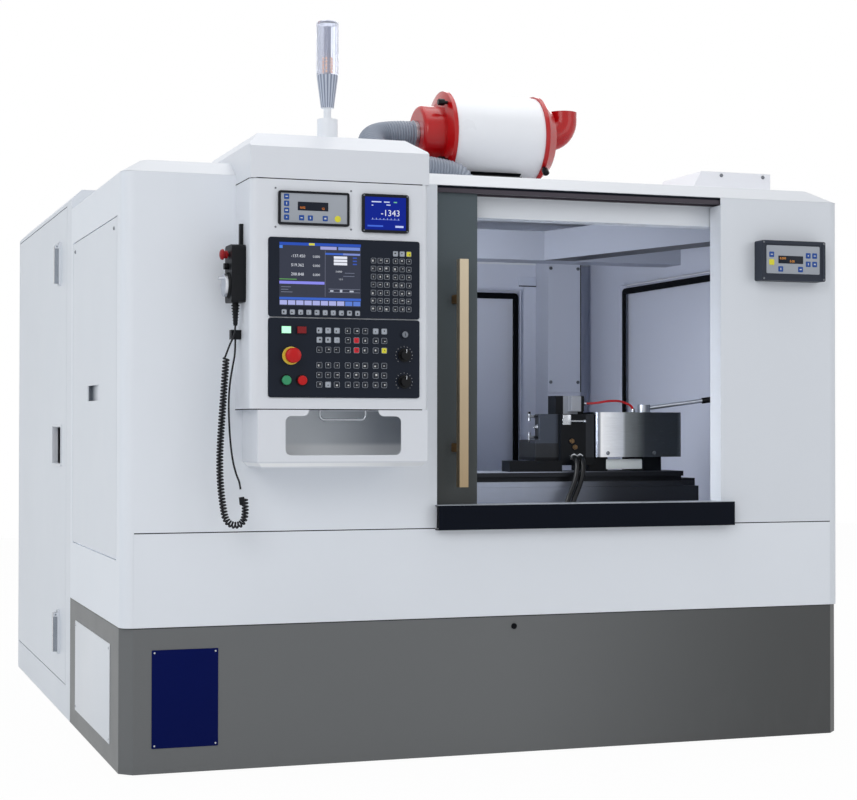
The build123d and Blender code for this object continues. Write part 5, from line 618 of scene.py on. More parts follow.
wear(["tailstock"], dressed("tailstock_steel", tailstock_colours, Specular_IOR_Level=0.12))
wear(["tailstock_cover"], dressed("cover_steel", cover_colours, Metallic=1.0))
wear(["tailstock_quill"], bright)
wear(["quill_lever"], dressed("lever_steel", lever_colours, Specular_IOR_Level=0.15))
valve_face = -0.754
brass = dressed("valve_brass", brushed(rgb(98, 78, 56), 0.36, (60.0, 60.0, 60.0)), Metallic=0.9)
union_nut = [(0.0, 0.0), (0.0072, 0.0), (0.0078, 0.0006), (0.0078, 0.006), (0.0072, 0.0066), (0.004, 0.0066),
             (0.004, 0.011), (0.0, 0.011)]
unions = [turned(union_nut, (x, valve_face, z), FORWARD, 6) for x, z in ((0.356, 0.847), (0.366, 0.829))]
shell("valve_unions", np.stack(unions), brass, "steel", "upper_table")
rod = [(0.0, 0.0), (0.0030, 0.0), (0.0030, 0.050), (0.0046, 0.051), (0.0046, 0.057), (0.0, 0.0575)]
shell("valve_rod", turned(rod, (0.342, -0.7585, 0.906), ALONG_X, 16), bright, "steel", "upper_table")
facing("valve_bracket", [(0.338, 0.910)], valve_face, (0.026, 0.030), 0.008, bright, "steel", 0.002,
       body="upper_table")
cover_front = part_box("tailstock_cover")[0][1] - hair
screws("cover_screws", [(x, cover_front, 0.811) for x in (0.469, 0.621)], FORWARD, 0.006, "upper_table")
gib_pale = dressed("gib_pale", powder_coat(rgb(244, 250, 249), 0.4))
gib_back = -0.742
facing("tail_gib", [(0.531, 0.7775)], gib_back, (0.118, 0.030), 0.004, gib_pale, "steel", 0.002,
       body="upper_table")


# Tailstock hoses: two black rubber drain hoses leave the valve block and hang in front of the table, each
# ending in a crimped ferrule; a thin red air hose loops from the dresser over the cover into its top.
def spline(name, points, resolution):
    """A curve of one open NURBS spline of order 3 through its control points."""
    curve = bpy.data.curves.new(name, "CURVE")
    curve.dimensions = "3D"
    curve.resolution_u = resolution
    thread = curve.splines.new("NURBS")
    thread.points.add(len(points) - 1)
    thread.points.foreach_set("co", np.column_stack([points, np.ones(len(points))]).ravel())
    thread.order_u = 3
    thread.use_endpoint_u = True
    return curve


def route(points):
    """Points along the smooth line that the spline draws through the control points."""
    curve = spline("route", points, 24)
    holder = bpy.data.objects.new("route", curve)
    mesh = bpy.data.meshes.new_from_object(holder)
    found = np.zeros(len(mesh.vertices) * 3)
    mesh.vertices.foreach_get("co", found)
    bpy.data.objects.remove(holder)
    bpy.data.curves.remove(curve)
    bpy.data.meshes.remove(mesh)
    return found.reshape(-1, 3)


def cord_curve(name, points, radius, material, body="machine", nodes=()):
    """A cord as a round bevel on one spline, which stands for its CAD nodes."""
    curve = spline(name, points, 6 if len(points) < 60 else 2)
    curve.bevel_depth = radius
    curve.bevel_resolution = 3
    curve.use_fill_caps = True
    curve.materials.append(material)
    piece = bpy.data.objects.new(name, curve)
    bpy.context.collection.objects.link(piece)
    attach(piece, body)
    if nodes:
        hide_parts(*nodes)
    return piece


def steps_along(line):
    """Distance from the start of a line of points to each of them."""
    return np.concatenate([[0.0], np.cumsum(np.linalg.norm(np.diff(line, axis=0), axis=1))])


def length(line):
    """Length of a line of points."""
    return float(steps_along(line)[-1])


hose_rubber = dressed("hose_rubber", powder_coat(rgb(7, 9, 12), 0.36, 0.2), Specular_IOR_Level=0.25)
hose_red = dressed("hose_red", powder_coat(rgb(196, 26, 30), 0.3, 0.05), Coat_Weight=0.2)
ferrule = [(0.0086, 0.0), (0.0096, 0.001), (0.0096, 0.006), (0.0088, 0.007), (0.0096, 0.008), (0.0096, 0.013),
           (0.0088, 0.014), (0.0096, 0.015), (0.0096, 0.019), (0.0075, 0.0205), (0.0055, 0.0205),
           (0.0055, 0.012)]
hose_nut = [(0.0085, -0.012), (0.0115, -0.012), (0.0118, -0.011), (0.0118, -0.001), (0.0112, 0.0),
            (0.0085, 0.0)]
hose_radius, ferrule_overlap = 0.008, 0.018
drops = np.array([(0, 0, 0), (0, -20, 0), (-2, -38, -11), (-5, -47, -34), (-14, -54, -66), (-30, -63, -96),
                  (-46, -71, -124), (-56, -76, -152)]) / 1000.0
for number, x in enumerate((0.359, 0.378)):
    points = drops + np.array([x, valve_face, 0.799])
    line = route(points)
    hose = cord_curve(f"drain_hose_{number}", points, hose_radius, hose_rubber, "upper_table",
                      ["tailstock_hoses"] if number == 0 else [])
    way = line[-1] - line[-2]
    end_ring = turned(ferrule, line[-1] - way / np.linalg.norm(way) * ferrule_overlap, way)
    end = shell(f"drain_ferrule_{number}", end_ring, bright, "steel", "upper_table")
    shell(f"drain_union_{number}", turned(hose_nut, line[0], REARWARD, 6), bright, "steel", "upper_table")
points = np.array([(409, -713, 959), (447, -713, 959), (491, -711, 967), (535, -707, 968), (569, -704, 957),
                   (581, -703, 945), (581, -703, 933)]) / 1000.0
air_hose = cord_curve("air_hose", points, 0.0035, hose_red, "upper_table")
length(route(points))
stem = [(0.0036, 0.0), (0.0062, 0.0), (0.0062, 0.004), (0.0052, 0.005), (0.0052, 0.011), (0.0037, 0.012)]
stems = np.stack([turned(stem, points[0], ALONG_X, 16), turned(stem, points[-1], UP, 16)])
shell("air_unions", stems, bright, "steel", "upper_table")


# Wheelhead: a painted casting on the cross ways with the motor and belt cover, and a sheet guard round
# the wheel. The wheel is bonded grey-white grit clamped between steel flanges.
def grit(place):
    """Bonded grit: pale grains in a darker bond, open pores, with the steel flanges and shaft left bright."""
    grains = place.make("TexVoronoi", {"Vector": place, "Scale": 900.0}, "Color")
    grey = place.make("SeparateColor", {0: grains}, 0)
    pores = cloud(place, 420.0, 3.0)
    x = place.axis(0)
    steel = (x < -0.0098) | (x > 0.0398)
    bond = place.make("ValToRGB", {0: grey * 0.6 + pores * 0.4},
                      stops=[(0.2, rgb(120, 116, 110)), (0.8, rgb(206, 202, 194))])
    return {
        "Base Color": blend(steel, bond, rgb(150, 154, 160)),
        "Roughness": 0.92 - steel * 0.6,
        "Metallic": steel,
        "Normal": place.make("Bump", {"Strength": 0.4, "Distance": 0.0008, "Height": grey + pores}),
    }


wear(["wheelhead"], dressed("wheelhead_paint", casting(rgb(148, 156, 164))))
wear(["grinding_wheel"], dressed("bonded_grit", grit))


# Sliding door: a dark grey sheet frame round a clear pane, hung from the track above and guided by the
# sill's runner. A square anodised bar on two short posts is its handle.
def door_colours(place):
    """Door frame paint: dark grey, with painted light that makes it a little lighter and bluer towards the
    top.
    """
    made = powder_coat(rgb(70, 73, 73), 0.42, 0.12)(place)
    # Painted light: the frame grows lighter and bluer towards its top.
    paint(made, place.axis(2).rise(0.7, 1.5), rgb(84, 94, 99))
    return made


def pane(place):
    """Clear polycarbonate with faint wiping smears."""
    return {"Roughness": cloud(place, 5.0, 5.0, (1.0, 1.0, 0.4)) * 0.10 + 0.02}


def anodised(place):
    """Champagne anodised bar brushed lengthways, painted light paler at its top and painted shade browner at
    its foot; its posts are a darker gold.
    """
    made = brushed(rgb(160, 140, 112), 0.34, (120.0, 120.0, 3.0), 0.05)(place)
    # Painted light and shade: the bar runs from brown at its foot to pale at its top.
    paint(made, place.axis(2).rise(0.73, 1.34), rgb(196, 182, 159))
    paint(made, place.axis(1) > -1.1419, rgb(112, 86, 54))
    return made


def track_colours(place):
    """Black sill and post, bright runner on the sill, a painted highlight along the sill's top edge,
    brown-grey track under the roof, and painted shade dark along its top.
    """
    made = powder_coat(rgb(6, 12, 24), 0.3, 0.06)(place)
    runner = within(place, (-1.1, -1.0995, 0.62), (1.1, -1.02, 0.6998))
    edge = within(place, (-1.1, -1.2, 0.6788), (1.1, -1.0995, 0.6805))
    z = place.axis(2)
    # Above the brown-grey band the track stays black as painted shade under the roof's edge.
    paint(made, (z > 1.45) * (z < 1.5335), rgb(80, 75, 82))
    # The runner is bright metal; the edge strip is a painted highlight along the sill's top edge.
    paint(made, runner | edge, rgb(178, 184, 192))
    made["Metallic"] = runner * 0.9
    return made


wear(["door_frame"], dressed("door_grey", door_colours, Specular_IOR_Level=0.2))
wear(["door_glass"], dressed("door_pane", pane, Base_Color=(0.80, 0.86, 0.88, 1.0),
                             Transmission_Weight=1.0, IOR=1.2))
wear(["door_handle"], dressed("handle_anodised", anodised, Metallic=0.85))
wear(["door_tracks"], dressed("track_paint", track_colours, Specular_IOR_Level=0.07))
post_gold = dressed("post_gold", brushed(rgb(128, 98, 62), 0.4), Metallic=0.7)
handle_x, post_wide, post_long = -0.135, 0.024, 0.0414
facing("handle_posts", [(handle_x, 0.833), (handle_x, 1.233)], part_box("door_frame")[0][1] - hair,
       (post_wide, post_wide), post_long, post_gold, "gold_alu", 0.003, 0.0008, body="front_door")


# Electrical cabinet: a tall folded sheet case at the rear left with one hinged door that has two lever
# latches, and a window for the isolator's red lever. Drives hang on a plate inside.
def moulded(colour, rough=0.42, grain=0.12):
    """Moulded plastic: fine spark-eroded grain and a slight change of tone."""
    def look(place):
        speckle = cloud(place, 900.0, 1.0)
        return {
            "Base Color": blend(cloud(place, 14.0, 3.0), shaded(colour, 0.94), shaded(colour, 1.06)),
            "Roughness": speckle * 0.14 + (rough - 0.07),
            "Normal": bump(place, speckle, grain, 0.0002, 0.0009),
        }
    return look


wear(["cabinet_shell", "cabinet_door"], sheet_white)
chrome = dressed("latch_chrome", brushed(rgb(158, 163, 170), 0.22, (40.0, 40.0, 40.0), 0.02), Metallic=1.0)
wear(["upper_latch", "lower_latch"], chrome)
red_plastic = dressed("red_plastic", moulded(rgb(190, 12, 16), 0.34, 0.04), Specular_IOR_Level=0.3)
wear(["isolator_lever"], red_plastic)
wear(["drive_rack"], dressed("drive_cases", moulded(rgb(132, 136, 142))))
window_rim = [(0.0, 0.0), (0.006, 0.0), (0.006, 0.0015), (0.004, 0.0028), (0.001, 0.0028), (0.0, 0.0015)]
rim = frame_strip((-0.191, 0.764), (0.015, 0.894), 0.008, FORWARD, (left_side, 0.0, 0.0), window_rim)
shell("isolator_frame", rim, plate_white, "white_plastic", "cabinet_door_leaf", ends=False)


# Console: a folded sheet housing on the left column with a hood over it, a pocket with a shaped window
# below and a bent wire pull. Dark strips in the seams between the three are painted shade.
console_paint = powder_coat(rgb(226, 229, 235), 0.38)


def pocket_colours(place):
    """Pocket sheet: white outside; inside, painted shade greys the tray towards the right and painted light
    brightens its low fold.
    """
    made = console_paint(place)
    inside = within(place, (-0.7255, -1.2815, 0.7885), (-0.2815, -1.10, 0.9295))
    right = place.axis(0).rise(-0.62, -0.36)
    # Painted shade: the tray's white turns grey towards its right.
    tray = blend(right, rgb(240, 244, 247), rgb(172, 178, 186))
    # Painted light: the low fold is lit nearly white, less so towards the right.
    fold = place.axis(2).rise(0.850, 0.836, 0.0, 0.9, "SMOOTHSTEP") * (1.0 - right * 0.35)
    paint(made, inside, blend(fold, tray, rgb(252, 253, 254)))
    return made


wear(["console_housing", "console_hood"], dressed("console_white", console_paint, Specular_IOR_Level=0.42))
wear(["console_pocket"], dressed("pocket_sheet", pocket_colours, Specular_IOR_Level=0.42))
wear(["console_pull"], chrome)
console_low, console_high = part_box("console_housing")
console_left, console_face = console_low[0], console_low[1] - hair
console_edge, console_seam = 0.018, 0.0026
# Painted shade: dark strips along the housing's lower and upper seams and round its left corner.
seam_heights = (console_low[2], console_high[2])
front_runs = plates([(-0.5115, console_face + seam_thick, z) for z in seam_heights], ALONG_X, UP,
                    (0.436, console_seam), seam_thick)
side_runs = plates([(console_left + hair, -1.194, z) for z in seam_heights], FORWARD, UP,
                   (0.148, console_seam), seam_thick)
shell("console_seams", np.concatenate([front_runs, side_runs]), shade_strip_and_plate_black, "white_paint")
bend = [(console_edge + 0.0003, -console_seam / 2), (console_edge + 0.0003, console_seam / 2)]
bends = [turned(bend, (console_left + console_edge, console_low[1] + console_edge, z), UP, 9, (0.5, 0.78125))
         for z in seam_heights]
shell("console_seam_bends", np.stack(bends), shade_strip_and_plate_black, "white_paint", around=False, ends=False)


# Display unit: a black moulded bezel with the screen on the left, a keypad on the right and a row of soft
# keys under the screen. Each key is a cap with a raised pale border and a printed mark.
panel_left, display_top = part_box("display_unit")[0][0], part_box("display_unit")[1][2]
operator_top, bezel_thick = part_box("operator_panel")[1][2], 0.006
panel_face = console_face - bezel_thick
bezel_black = dressed("bezel_black", moulded(rgb(20, 27, 40), 0.34, 0.06), Specular_IOR_Level=0.16)
wear(["display_unit", "operator_panel"], bezel_black)


def tint_of(place):
    """The piece's own colour."""
    return place.make("Attribute", (), "Color", attribute_name="tint")


def tinted(place):
    """A moulded finish whose colour is the piece's own tint, with a little change of shine."""
    return {"Base Color": tint_of(place), "Roughness": cloud(place, 600.0, 1.0) * 0.1 + 0.4}


def glowing(place):
    """A lit finish: the piece's own tint as light, under a dark pane that shines unevenly."""
    return {"Emission Color": tint_of(place), "Roughness": cloud(place, 40.0, 3.0) * 0.12 + 0.2}


cap_finish = dressed("tinted_cap", tinted, Specular_IOR_Level=0.3)
glow_finish = dressed("tinted_glow", glowing, Base_Color=(0.004, 0.004, 0.006, 1.0), Emission_Strength=0.9,
                      Specular_IOR_Level=0.06)


def on_panel(spots, top, lift=0.0):
    """Places on the console's face from millimetres right of its left edge and below its top edge."""
    across, down = (np.atleast_2d(np.asarray(spots, float)) / 1000.0).T
    return np.column_stack([panel_left + across, np.full(len(across), panel_face - lift), top - down])


def key_pads(name, spots, top, tints, size):
    """Key caps: low rounded pads with a raised pale border and a printed mark of chance size and place."""
    tints = np.asarray(tints, float)
    places = on_panel(spots, top, 0.0008)
    count = len(places)
    shell(name + "_caps", plates(places, ALONG_X, UP, (size, size), 0.0009, 0.0018, 0.0003), cap_finish,
          "black_plastic", tint=tints)
    rib = [(0.0, 0.0), (0.0, 0.0011), (0.0008, 0.0011), (0.0008, 0.0)]
    half = size / 2 + 0.0009
    borders = [frame_strip((x - half, z - half), (x + half, z + half), 0.0022, ALONG_X, (0.0, y, 0.0), rib, 3)
               for x, y, z in places]
    shell(name + "_borders", np.stack(borders), cap_finish, "black_plastic", ends=False,
          tint=np.tile(rgb(148, 154, 164)[:3], (count, 1)))
    generator = np.random.default_rng(7)
    mark_size = generator.uniform(0.0016, 0.0052, (count, 2))
    shift = np.column_stack([generator.uniform(-0.002, 0.002, count), np.full(count, -0.0009),
                             generator.uniform(-0.0018, 0.0018, count)])
    marks = plates(places + shift, ALONG_X, UP, mark_size, 0.00015, 0.0003, 0.00005)
    shade = np.where(tints.mean(1, keepdims=True) > 0.2, 0.03, 0.62)
    shell(name + "_marks", marks, cap_finish, "black_plastic", tint=np.repeat(shade, 3, 1))


dark, pale = rgb(18, 24, 36)[:3], rgb(168, 174, 184)[:3]
red, yellow = rgb(206, 28, 44)[:3], rgb(224, 216, 60)[:3]
letter_keys = [(u, 52 + 20.5 * row) for row in range(7) for u in (275, 293, 311, 334, 352, 370)]
top_keys = [(334, 33), (352, 33), (370, 33)]
keypad_tints = [dark] * len(letter_keys) + [pale, pale, yellow]
key_pads("keypad", letter_keys + top_keys, display_top, keypad_tints, 0.0118)
soft_keys = [(40 + 21.4 * index, 188) for index in range(10)]
key_pads("soft_keys", soft_keys, display_top, [pale] * len(soft_keys), 0.0112)


# Screen: a lit flat panel behind the bezel, with bars, fields and plain figures drawn as thin lit tiles.
# Each tile is given by its left, top, right and bottom as shares of the field, and its colour.
def tiles(name, drawn, low, high, plane, lift=0.00004):
    """Lit tiles: flat patches of a field, each a hair in front of the one before."""
    corners = np.array([corner for corner, colour in drawn], float)
    size = np.asarray(high) - np.asarray(low)
    grid = np.empty((len(corners), 2, 2, 3))
    grid[..., 0] = (low[0] + corners[:, [0, 2]] * size[0])[:, None, :]
    grid[..., 1] = (plane - lift * np.arange(1, len(corners) + 1))[:, None, None]
    grid[..., 2] = (high[1] - corners[:, [1, 3]] * size[1])[:, :, None]
    colours = [rgb(*colour)[:3] for corner, colour in drawn]
    shell(name, grid, glow_finish, "glass", around=False, ends=False, tint=colours)


def figures(name, words, plane, colour):
    """Plain figures as flat lit letters: each word is set at an x, a height and a letter size on a face."""
    whole = bmesh.new()
    for text, x, z, tall in words:
        line = bpy.data.curves.new(name, "FONT")
        line.body = text
        line.size = tall
        line.resolution_u = 2
        holder = bpy.data.objects.new(name, line)
        word = bpy.data.meshes.new_from_object(holder)
        word.transform(Matrix(((1, 0, 0, x), (0, 0, -1, plane), (0, 1, 0, z), (0, 0, 0, 1))))
        whole.from_mesh(word)
        bpy.data.objects.remove(holder)
        bpy.data.curves.remove(line)
        bpy.data.meshes.remove(word)
    mesh = bpy.data.meshes.new(name)
    whole.to_mesh(mesh)
    whole.free()
    shades = np.tile(colour, (len(mesh.vertices), 1))
    mesh.color_attributes.new("tint", "FLOAT_COLOR", "POINT").data.foreach_set("color", shades.ravel())
    mesh.materials.append(glow_finish)
    piece = bpy.data.objects.new(name, mesh)
    bpy.context.collection.objects.link(piece)
    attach(piece, "machine")


screen_plane = -1.28955
white_field, blue_dash, grey_line = (240, 243, 255), (60, 92, 190), (150, 156, 176)
drawn = [((0, 0, 1, 1), (58, 62, 76)), ((0, 0, 1, 0.045), (46, 84, 188)),
         ((0.36, 0.006, 0.43, 0.04), (226, 220, 70)), ((0.0, 0.05, 0.04, 0.095), (84, 138, 236)),
         ((0.50, 0.052, 0.70, 0.10), (168, 170, 226)), ((0.72, 0.052, 0.99, 0.10), (120, 146, 226)),
         ((0.56, 0.15, 0.78, 0.18), (64, 106, 210)), ((0.78, 0.15, 0.99, 0.18), (132, 150, 220))]
drawn += [((0.665, 0.20 + 0.05 * row, 0.83, 0.24 + 0.05 * row), white_field) for row in range(3)]
drawn += [((0.90, 0.21 + 0.05 * row, 0.95, 0.23 + 0.05 * row), blue_dash) for row in range(3)]
drawn += [((0.0, 0.575, 0.21, 0.588), (104, 170, 96)), ((0.0, 0.612, 0.55, 0.655), (146, 146, 248)),
          ((0.556, 0.11, 0.561, 0.85), (118, 122, 140))]
drawn += [((0.02, top, right, top + 0.008), (132, 138, 160))
          for top, right in ((0.70, 0.14), (0.74, 0.11), (0.78, 0.16))]
drawn += [((0.60, 0.72, 0.99, 0.725), grey_line), ((0.60, 0.77, 0.99, 0.775), grey_line)]
button_boxes = ((0.62, 0.74, 0.66, 0.765), (0.74, 0.73, 0.77, 0.77), (0.86, 0.74, 0.91, 0.765))
drawn += [(corner, (190, 196, 210)) for corner in button_boxes]
drawn += [((left, top, 0.92, top + 0.008), (126, 132, 152)) for left, top in ((0.80, 0.46), (0.78, 0.51))]
drawn += [((0.0, 0.865, 1.0, 0.905), (62, 104, 206))]
drawn += [((0.005 + 0.1 * i, 0.915, 0.093 + 0.1 * i, 0.985), (178, 184, 238) if i < 8 else (96, 132, 220))
          for i in range(10)]
tiles("screen_tiles", drawn, (-0.675, 1.194), (-0.461, 1.354), screen_plane)
row_heights = (1.3165, 1.2935, 1.2705)
readings = [(text, -0.645, z, 0.0105) for text, z in zip(("-137.450", "519.362", "208.848"), row_heights)]
readings += [("0.000", -0.588, z, 0.0085) for z in row_heights]
readings += [("0.0000", -0.528, 1.281, 0.0062), ("1.2.3", -0.520, 1.262, 0.0056)]
figures("screen_figures", readings, screen_plane - 0.0013, rgb(226, 230, 240))


# Operator panel: a black plate under the display with square keys, a mushroom stop on a yellow ring, push
# buttons of which one is lit, a key switch and two override dials. Pale trim runs round both units.
key_tints = dict.fromkeys([(132, 30), (155, 30), (178, 30), (281, 30), (304, 30), (132, 54), (155, 54),
                           (178, 54), (155, 167)], pale)
key_tints |= {(230, 54): red, (230, 79): red, (304, 79): yellow}
square_keys = [(u, v) for v in (30, 54, 79, 118, 143, 167) for u in (132, 155, 178, 207, 230, 253, 281, 304)]
key_pads("panel_keys", square_keys, operator_top, [key_tints.get(spot, dark) for spot in square_keys], 0.0130)
trim = [(0.0, 0.0), (0.0, 0.0018), (0.0012, 0.0026), (0.0024, 0.0018), (0.0024, 0.0)]
trim_white = dressed("trim_white", moulded(rgb(232, 235, 240), 0.35, 0.03))
for name, low, high in (("display_trim", 1.1635, 1.3685), ("operator_trim", 0.9605, 1.1655)):
    strip = frame_strip((-0.7055, low), (-0.3005, high), 0.010, ALONG_X, (0.0, console_face, 0.0), trim)
    shell(name, strip, trim_white, "white_plastic", ends=False)
black_cap = dressed("black_cap", moulded(rgb(6, 8, 12), 0.24, 0.03), Specular_IOR_Level=0.2)
wear(["estop_button", "stop_button"], red_plastic)
unlit_red = dressed("unlit_red", moulded(rgb(126, 14, 22), 0.34, 0.04), Specular_IOR_Level=0.3)
wear(["power_off_button"], unlit_red)
wear(["start_button"], dressed("green_cap", moulded(rgb(30, 140, 92), 0.34, 0.04), Coat_Weight=0.15))
wear(["power_on_button"], dressed("lit_green", moulded(rgb(190, 240, 210), 0.4, 0.02),
                                  Emission_Color=rgb(160, 255, 200), Emission_Strength=0.5))
wear(["feed_dial", "rapid_dial", "pendant_selector"], black_cap)
wear(["key_switch"], dressed("key_steel", brushed(rgb(112, 117, 126), 0.3, (40.0, 40.0, 40.0)), Metallic=1.0))
ring_yellow = dressed("ring_yellow", moulded(rgb(226, 196, 66), 0.4, 0.03))
stop_ring = [(0.0222, 0.0), (0.0227, 0.0006), (0.0227, 0.0031), (0.0220, 0.0037), (0.0113, 0.0037),
             (0.0113, 0.0)]
stop_place = on_panel([(58, 95)], operator_top)[0]
shell("estop_ring", turned(stop_ring, stop_place, FORWARD, 48), ring_yellow, "white_plastic", ends=False)
stop_dome = [(0.0, 0.0), (0.0184, 0.0), (0.0189, 0.0008), (0.0180, 0.0026), (0.0145, 0.0044),
             (0.0085, 0.0056), (0.0, 0.0060)]
dome_place = (stop_place[0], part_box("estop_button")[0][1] - 0.0001, stop_place[2])
shell("estop_dome", turned(stop_dome, dome_place, FORWARD, 48), red_plastic, "red_plastic", "estop")
collar = [(0.0150, 0.0), (0.0150, 0.0022), (0.0140, 0.0032), (0.0126, 0.0032), (0.0126, 0.0)]
collars = [turned(collar, place, FORWARD) for place in on_panel([(45, 157), (86, 157)], operator_top)]
shell("button_collars", np.stack(collars), black_cap, "black_plastic", ends=False)
dial_across, tick_reach, cap_top = 358, 22.5, 0.0223
tick_turns = np.radians(np.linspace(-135.0, 135.0, 13))
dials = (("feed", 90), ("rapid", 158))
ticks = np.concatenate([np.column_stack([dial_across + tick_reach * np.sin(tick_turns),
                                         down - tick_reach * np.cos(tick_turns)]) for _, down in dials])
tick_pads = plates(on_panel(ticks, operator_top), ALONG_X, UP, (0.0016, 0.0016), 0.0002, 0.0008, 0.0001)
shell("dial_ticks", tick_pads, cap_finish, "white_plastic", tint=np.full((len(ticks), 3), 0.62))
for name, down in dials:
    pointer_place = on_panel([(dial_across, down - 10)], operator_top, cap_top)
    pointer = plates(pointer_place, ALONG_X, UP, (0.0016, 0.010), 0.0004, 0.0006)
    shell(f"dial_marks_{name}", pointer, trim_white, "white_plastic", f"{name}_knob")


# Instruments: the balancing unit and the gap-control gauge are flush cased meters above the display. The
# first has a grey printed face with blue pads and a small window, the second a lit blue face.
meter_grey = dressed("meter_grey", moulded(rgb(164, 169, 177), 0.4, 0.04), Specular_IOR_Level=0.3)
blue = rgb(28, 74, 150)[:3]


def meter(name, plane, face, window, stop, pads, signs):
    """A meter's printed face with blue pads and a sign on each, a dark window and a yellow stop pad. The face
    is given by its middle, size, thickness and corner, the stop by its middle, size and corner, and the pads
    by their middles, size and thickness."""
    middle, size, thick, corner = face
    spots, pad_wide, pad_thick = pads
    stop_middle, stop_wide, stop_corner = stop
    on_face = plane - thick
    facing(name + "_face", [middle], plane, size, thick, meter_grey, "grey_plastic", corner)
    facing(name + "_pads", spots, on_face, (pad_wide, pad_wide), pad_thick, cap_finish, "black_plastic",
           0.002, tint=[blue] * len(spots))
    facing(name + "_signs", spots, on_face - pad_thick, signs, 0.00015, cap_finish, "white_plastic", 0.0004,
           0.00005, tint=np.full((len(spots), 3), 0.62))
    facing(name + "_window", [window], on_face, (0.080, 0.022), 0.0006, bezel_black, "glass", 0.001)
    facing(name + "_stop_pad", [stop_middle], on_face, (stop_wide, stop_wide), pad_thick, cap_finish,
           "white_plastic", stop_corner, tint=[yellow])


meter_case = dressed("meter_case", moulded(rgb(14, 17, 24), 0.4, 0.08), Specular_IOR_Level=0.2)
wear(["console_instruments"], meter_case)
meter_plane, meter_rim = panel_face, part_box("console_instruments")[0][1] - hair
bottom_row = 1.4165
spots = [(-0.657, z) for z in (1.469, 1.4515, 1.434, bottom_row)]
spots += [(x, bottom_row) for x in (-0.618, -0.595, -0.556)]
signs = [(0.0064, 0.0022), (0.0024, 0.0064), (0.0070, 0.0036), (0.0030, 0.0030), (0.0058, 0.0024),
         (0.0024, 0.0058), (0.0058, 0.0040)]
meter("balancer", meter_plane, ((-0.585, 1.441), (0.176, 0.076), 0.0006, 0.004), (-0.588, 1.446),
      ((-0.523, bottom_row), 0.017, 0.0085), (spots, 0.0135, 0.0007), signs)
figures("balancer_figures", [("0.02", -0.622, 1.4395, 0.008), ("12", -0.566, 1.4385, 0.008)],
        meter_plane - 0.0014, rgb(255, 148, 60))
lit_white = (210, 220, 255)
drawn = [((0, 0, 1, 1), (6, 34, 146)), ((0.16, 0.13, 0.40, 0.165), lit_white),
         ((0.46, 0.13, 0.60, 0.165), lit_white), ((0.70, 0.13, 0.78, 0.165), (120, 200, 150)),
         ((0.16, 0.24, 0.20, 0.27), lit_white), ((0.52, 0.22, 0.62, 0.25), lit_white),
         ((0.15, 0.68, 0.85, 0.69), (140, 166, 250)), ((0.06, 0.86, 0.44, 0.91), (70, 110, 226)),
         ((0.74, 0.86, 0.94, 0.92), (200, 212, 255))]
drawn += [((0.18 + 0.09 * i, 0.64, 0.19 + 0.09 * i, 0.69), lit_white) for i in range(8)]
tiles("gauge_tiles", drawn, (-0.4505, 1.3935), (-0.3405, 1.4775), meter_plane)
figures("gauge_figures", [("-1343", -0.4085, 1.4295, 0.0225)], meter_plane - 0.0008, rgb(236, 240, 255))
gauge_corners = [(x, meter_rim, z) for x in (-0.4535, -0.3375) for z in (1.3905, 1.4805)]
screws("gauge_screws", gauge_corners, FORWARD, 0.0022)
balancer_corners = [(x, console_face, z) for x in (-0.684, -0.486) for z in (1.392, 1.490)]
screws("balancer_screws", balancer_corners, FORWARD, 0.0026)


# Monitor: a cast dark grey box on the right column with a printed grey face, blue pads and a dark window
# with amber figures. Four screws at the corners hold its lid.
wear(["monitor_box"], dressed("monitor_paint", moulded(rgb(44, 50, 62), 0.42, 0.14), Specular_IOR_Level=0.18))
lid_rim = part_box("monitor_box")[0][1] - hair
monitor_plane = lid_rim + 0.002
spots = [(0.796, 1.380), (0.825, 1.339), (0.889, 1.339), (0.914, 1.379), (0.935, 1.379), (0.914, 1.355),
         (0.935, 1.355)]
signs = [(0.0070, 0.0026), (0.0026, 0.0066), (0.0066, 0.0030), (0.0036, 0.0036), (0.0064, 0.0024),
         (0.0026, 0.0064), (0.0060, 0.0040)]
meter("monitor", monitor_plane, ((0.8655, 1.366), (0.172, 0.080), 0.0008, 0.003), (0.8575, 1.366),
      ((0.796, 1.358), 0.0165, 0.003), (spots, 0.0155, 0.0008), signs)
figures("monitor_figures", [("0.000", 0.822, 1.3665, 0.009), ("0.00", 0.854, 1.3585, 0.009)],
        monitor_plane - 0.0016, rgb(250, 170, 80))
lid_corners = [(x, lid_rim, z) for x in (0.7705, 0.9645) for z in (1.3115, 1.4145)]
screws("monitor_screws", lid_corners, FORWARD, 0.003)


# Pendant: a black hand box hooked on the console's left side, with an aluminium handwheel, a selector and
# a red stop on its face. A curly cord hangs from its ribbed strain relief, loops up through a moulded
# sleeve and runs on as a straight lead to a clip.
pendant_middle, cord_across, cord_radius = -1.200, -0.7665, 0.0025
box_black = dressed("pendant_black", moulded(rgb(12, 15, 20), 0.44, 0.16), Specular_IOR_Level=0.2)
wear(["pendant_body", "pendant_brackets"], box_black)
wheel_alu = dressed("wheel_alu", brushed(rgb(206, 210, 217), 0.34, (60.0, 60.0, 60.0)), Metallic=1.0)
wear(["pendant_handwheel"], wheel_alu)
pendant_red = dressed("pendant_red", moulded(rgb(150, 6, 16), 0.3, 0.04), Specular_IOR_Level=0.25)
wear(["pendant_estop"], pendant_red)
mushroom = [(0.0, 0.0), (0.0095, 0.0), (0.0134, 0.0012), (0.0138, 0.0045), (0.0120, 0.0080), (0.0070, 0.0102),
            (0.0, 0.0110)]
stop_head = turned(mushroom, (-0.7972, pendant_middle, 1.326), LEFTWARD)
shell("pendant_stop_head", stop_head, pendant_red, "red_plastic", "pendant_stop")
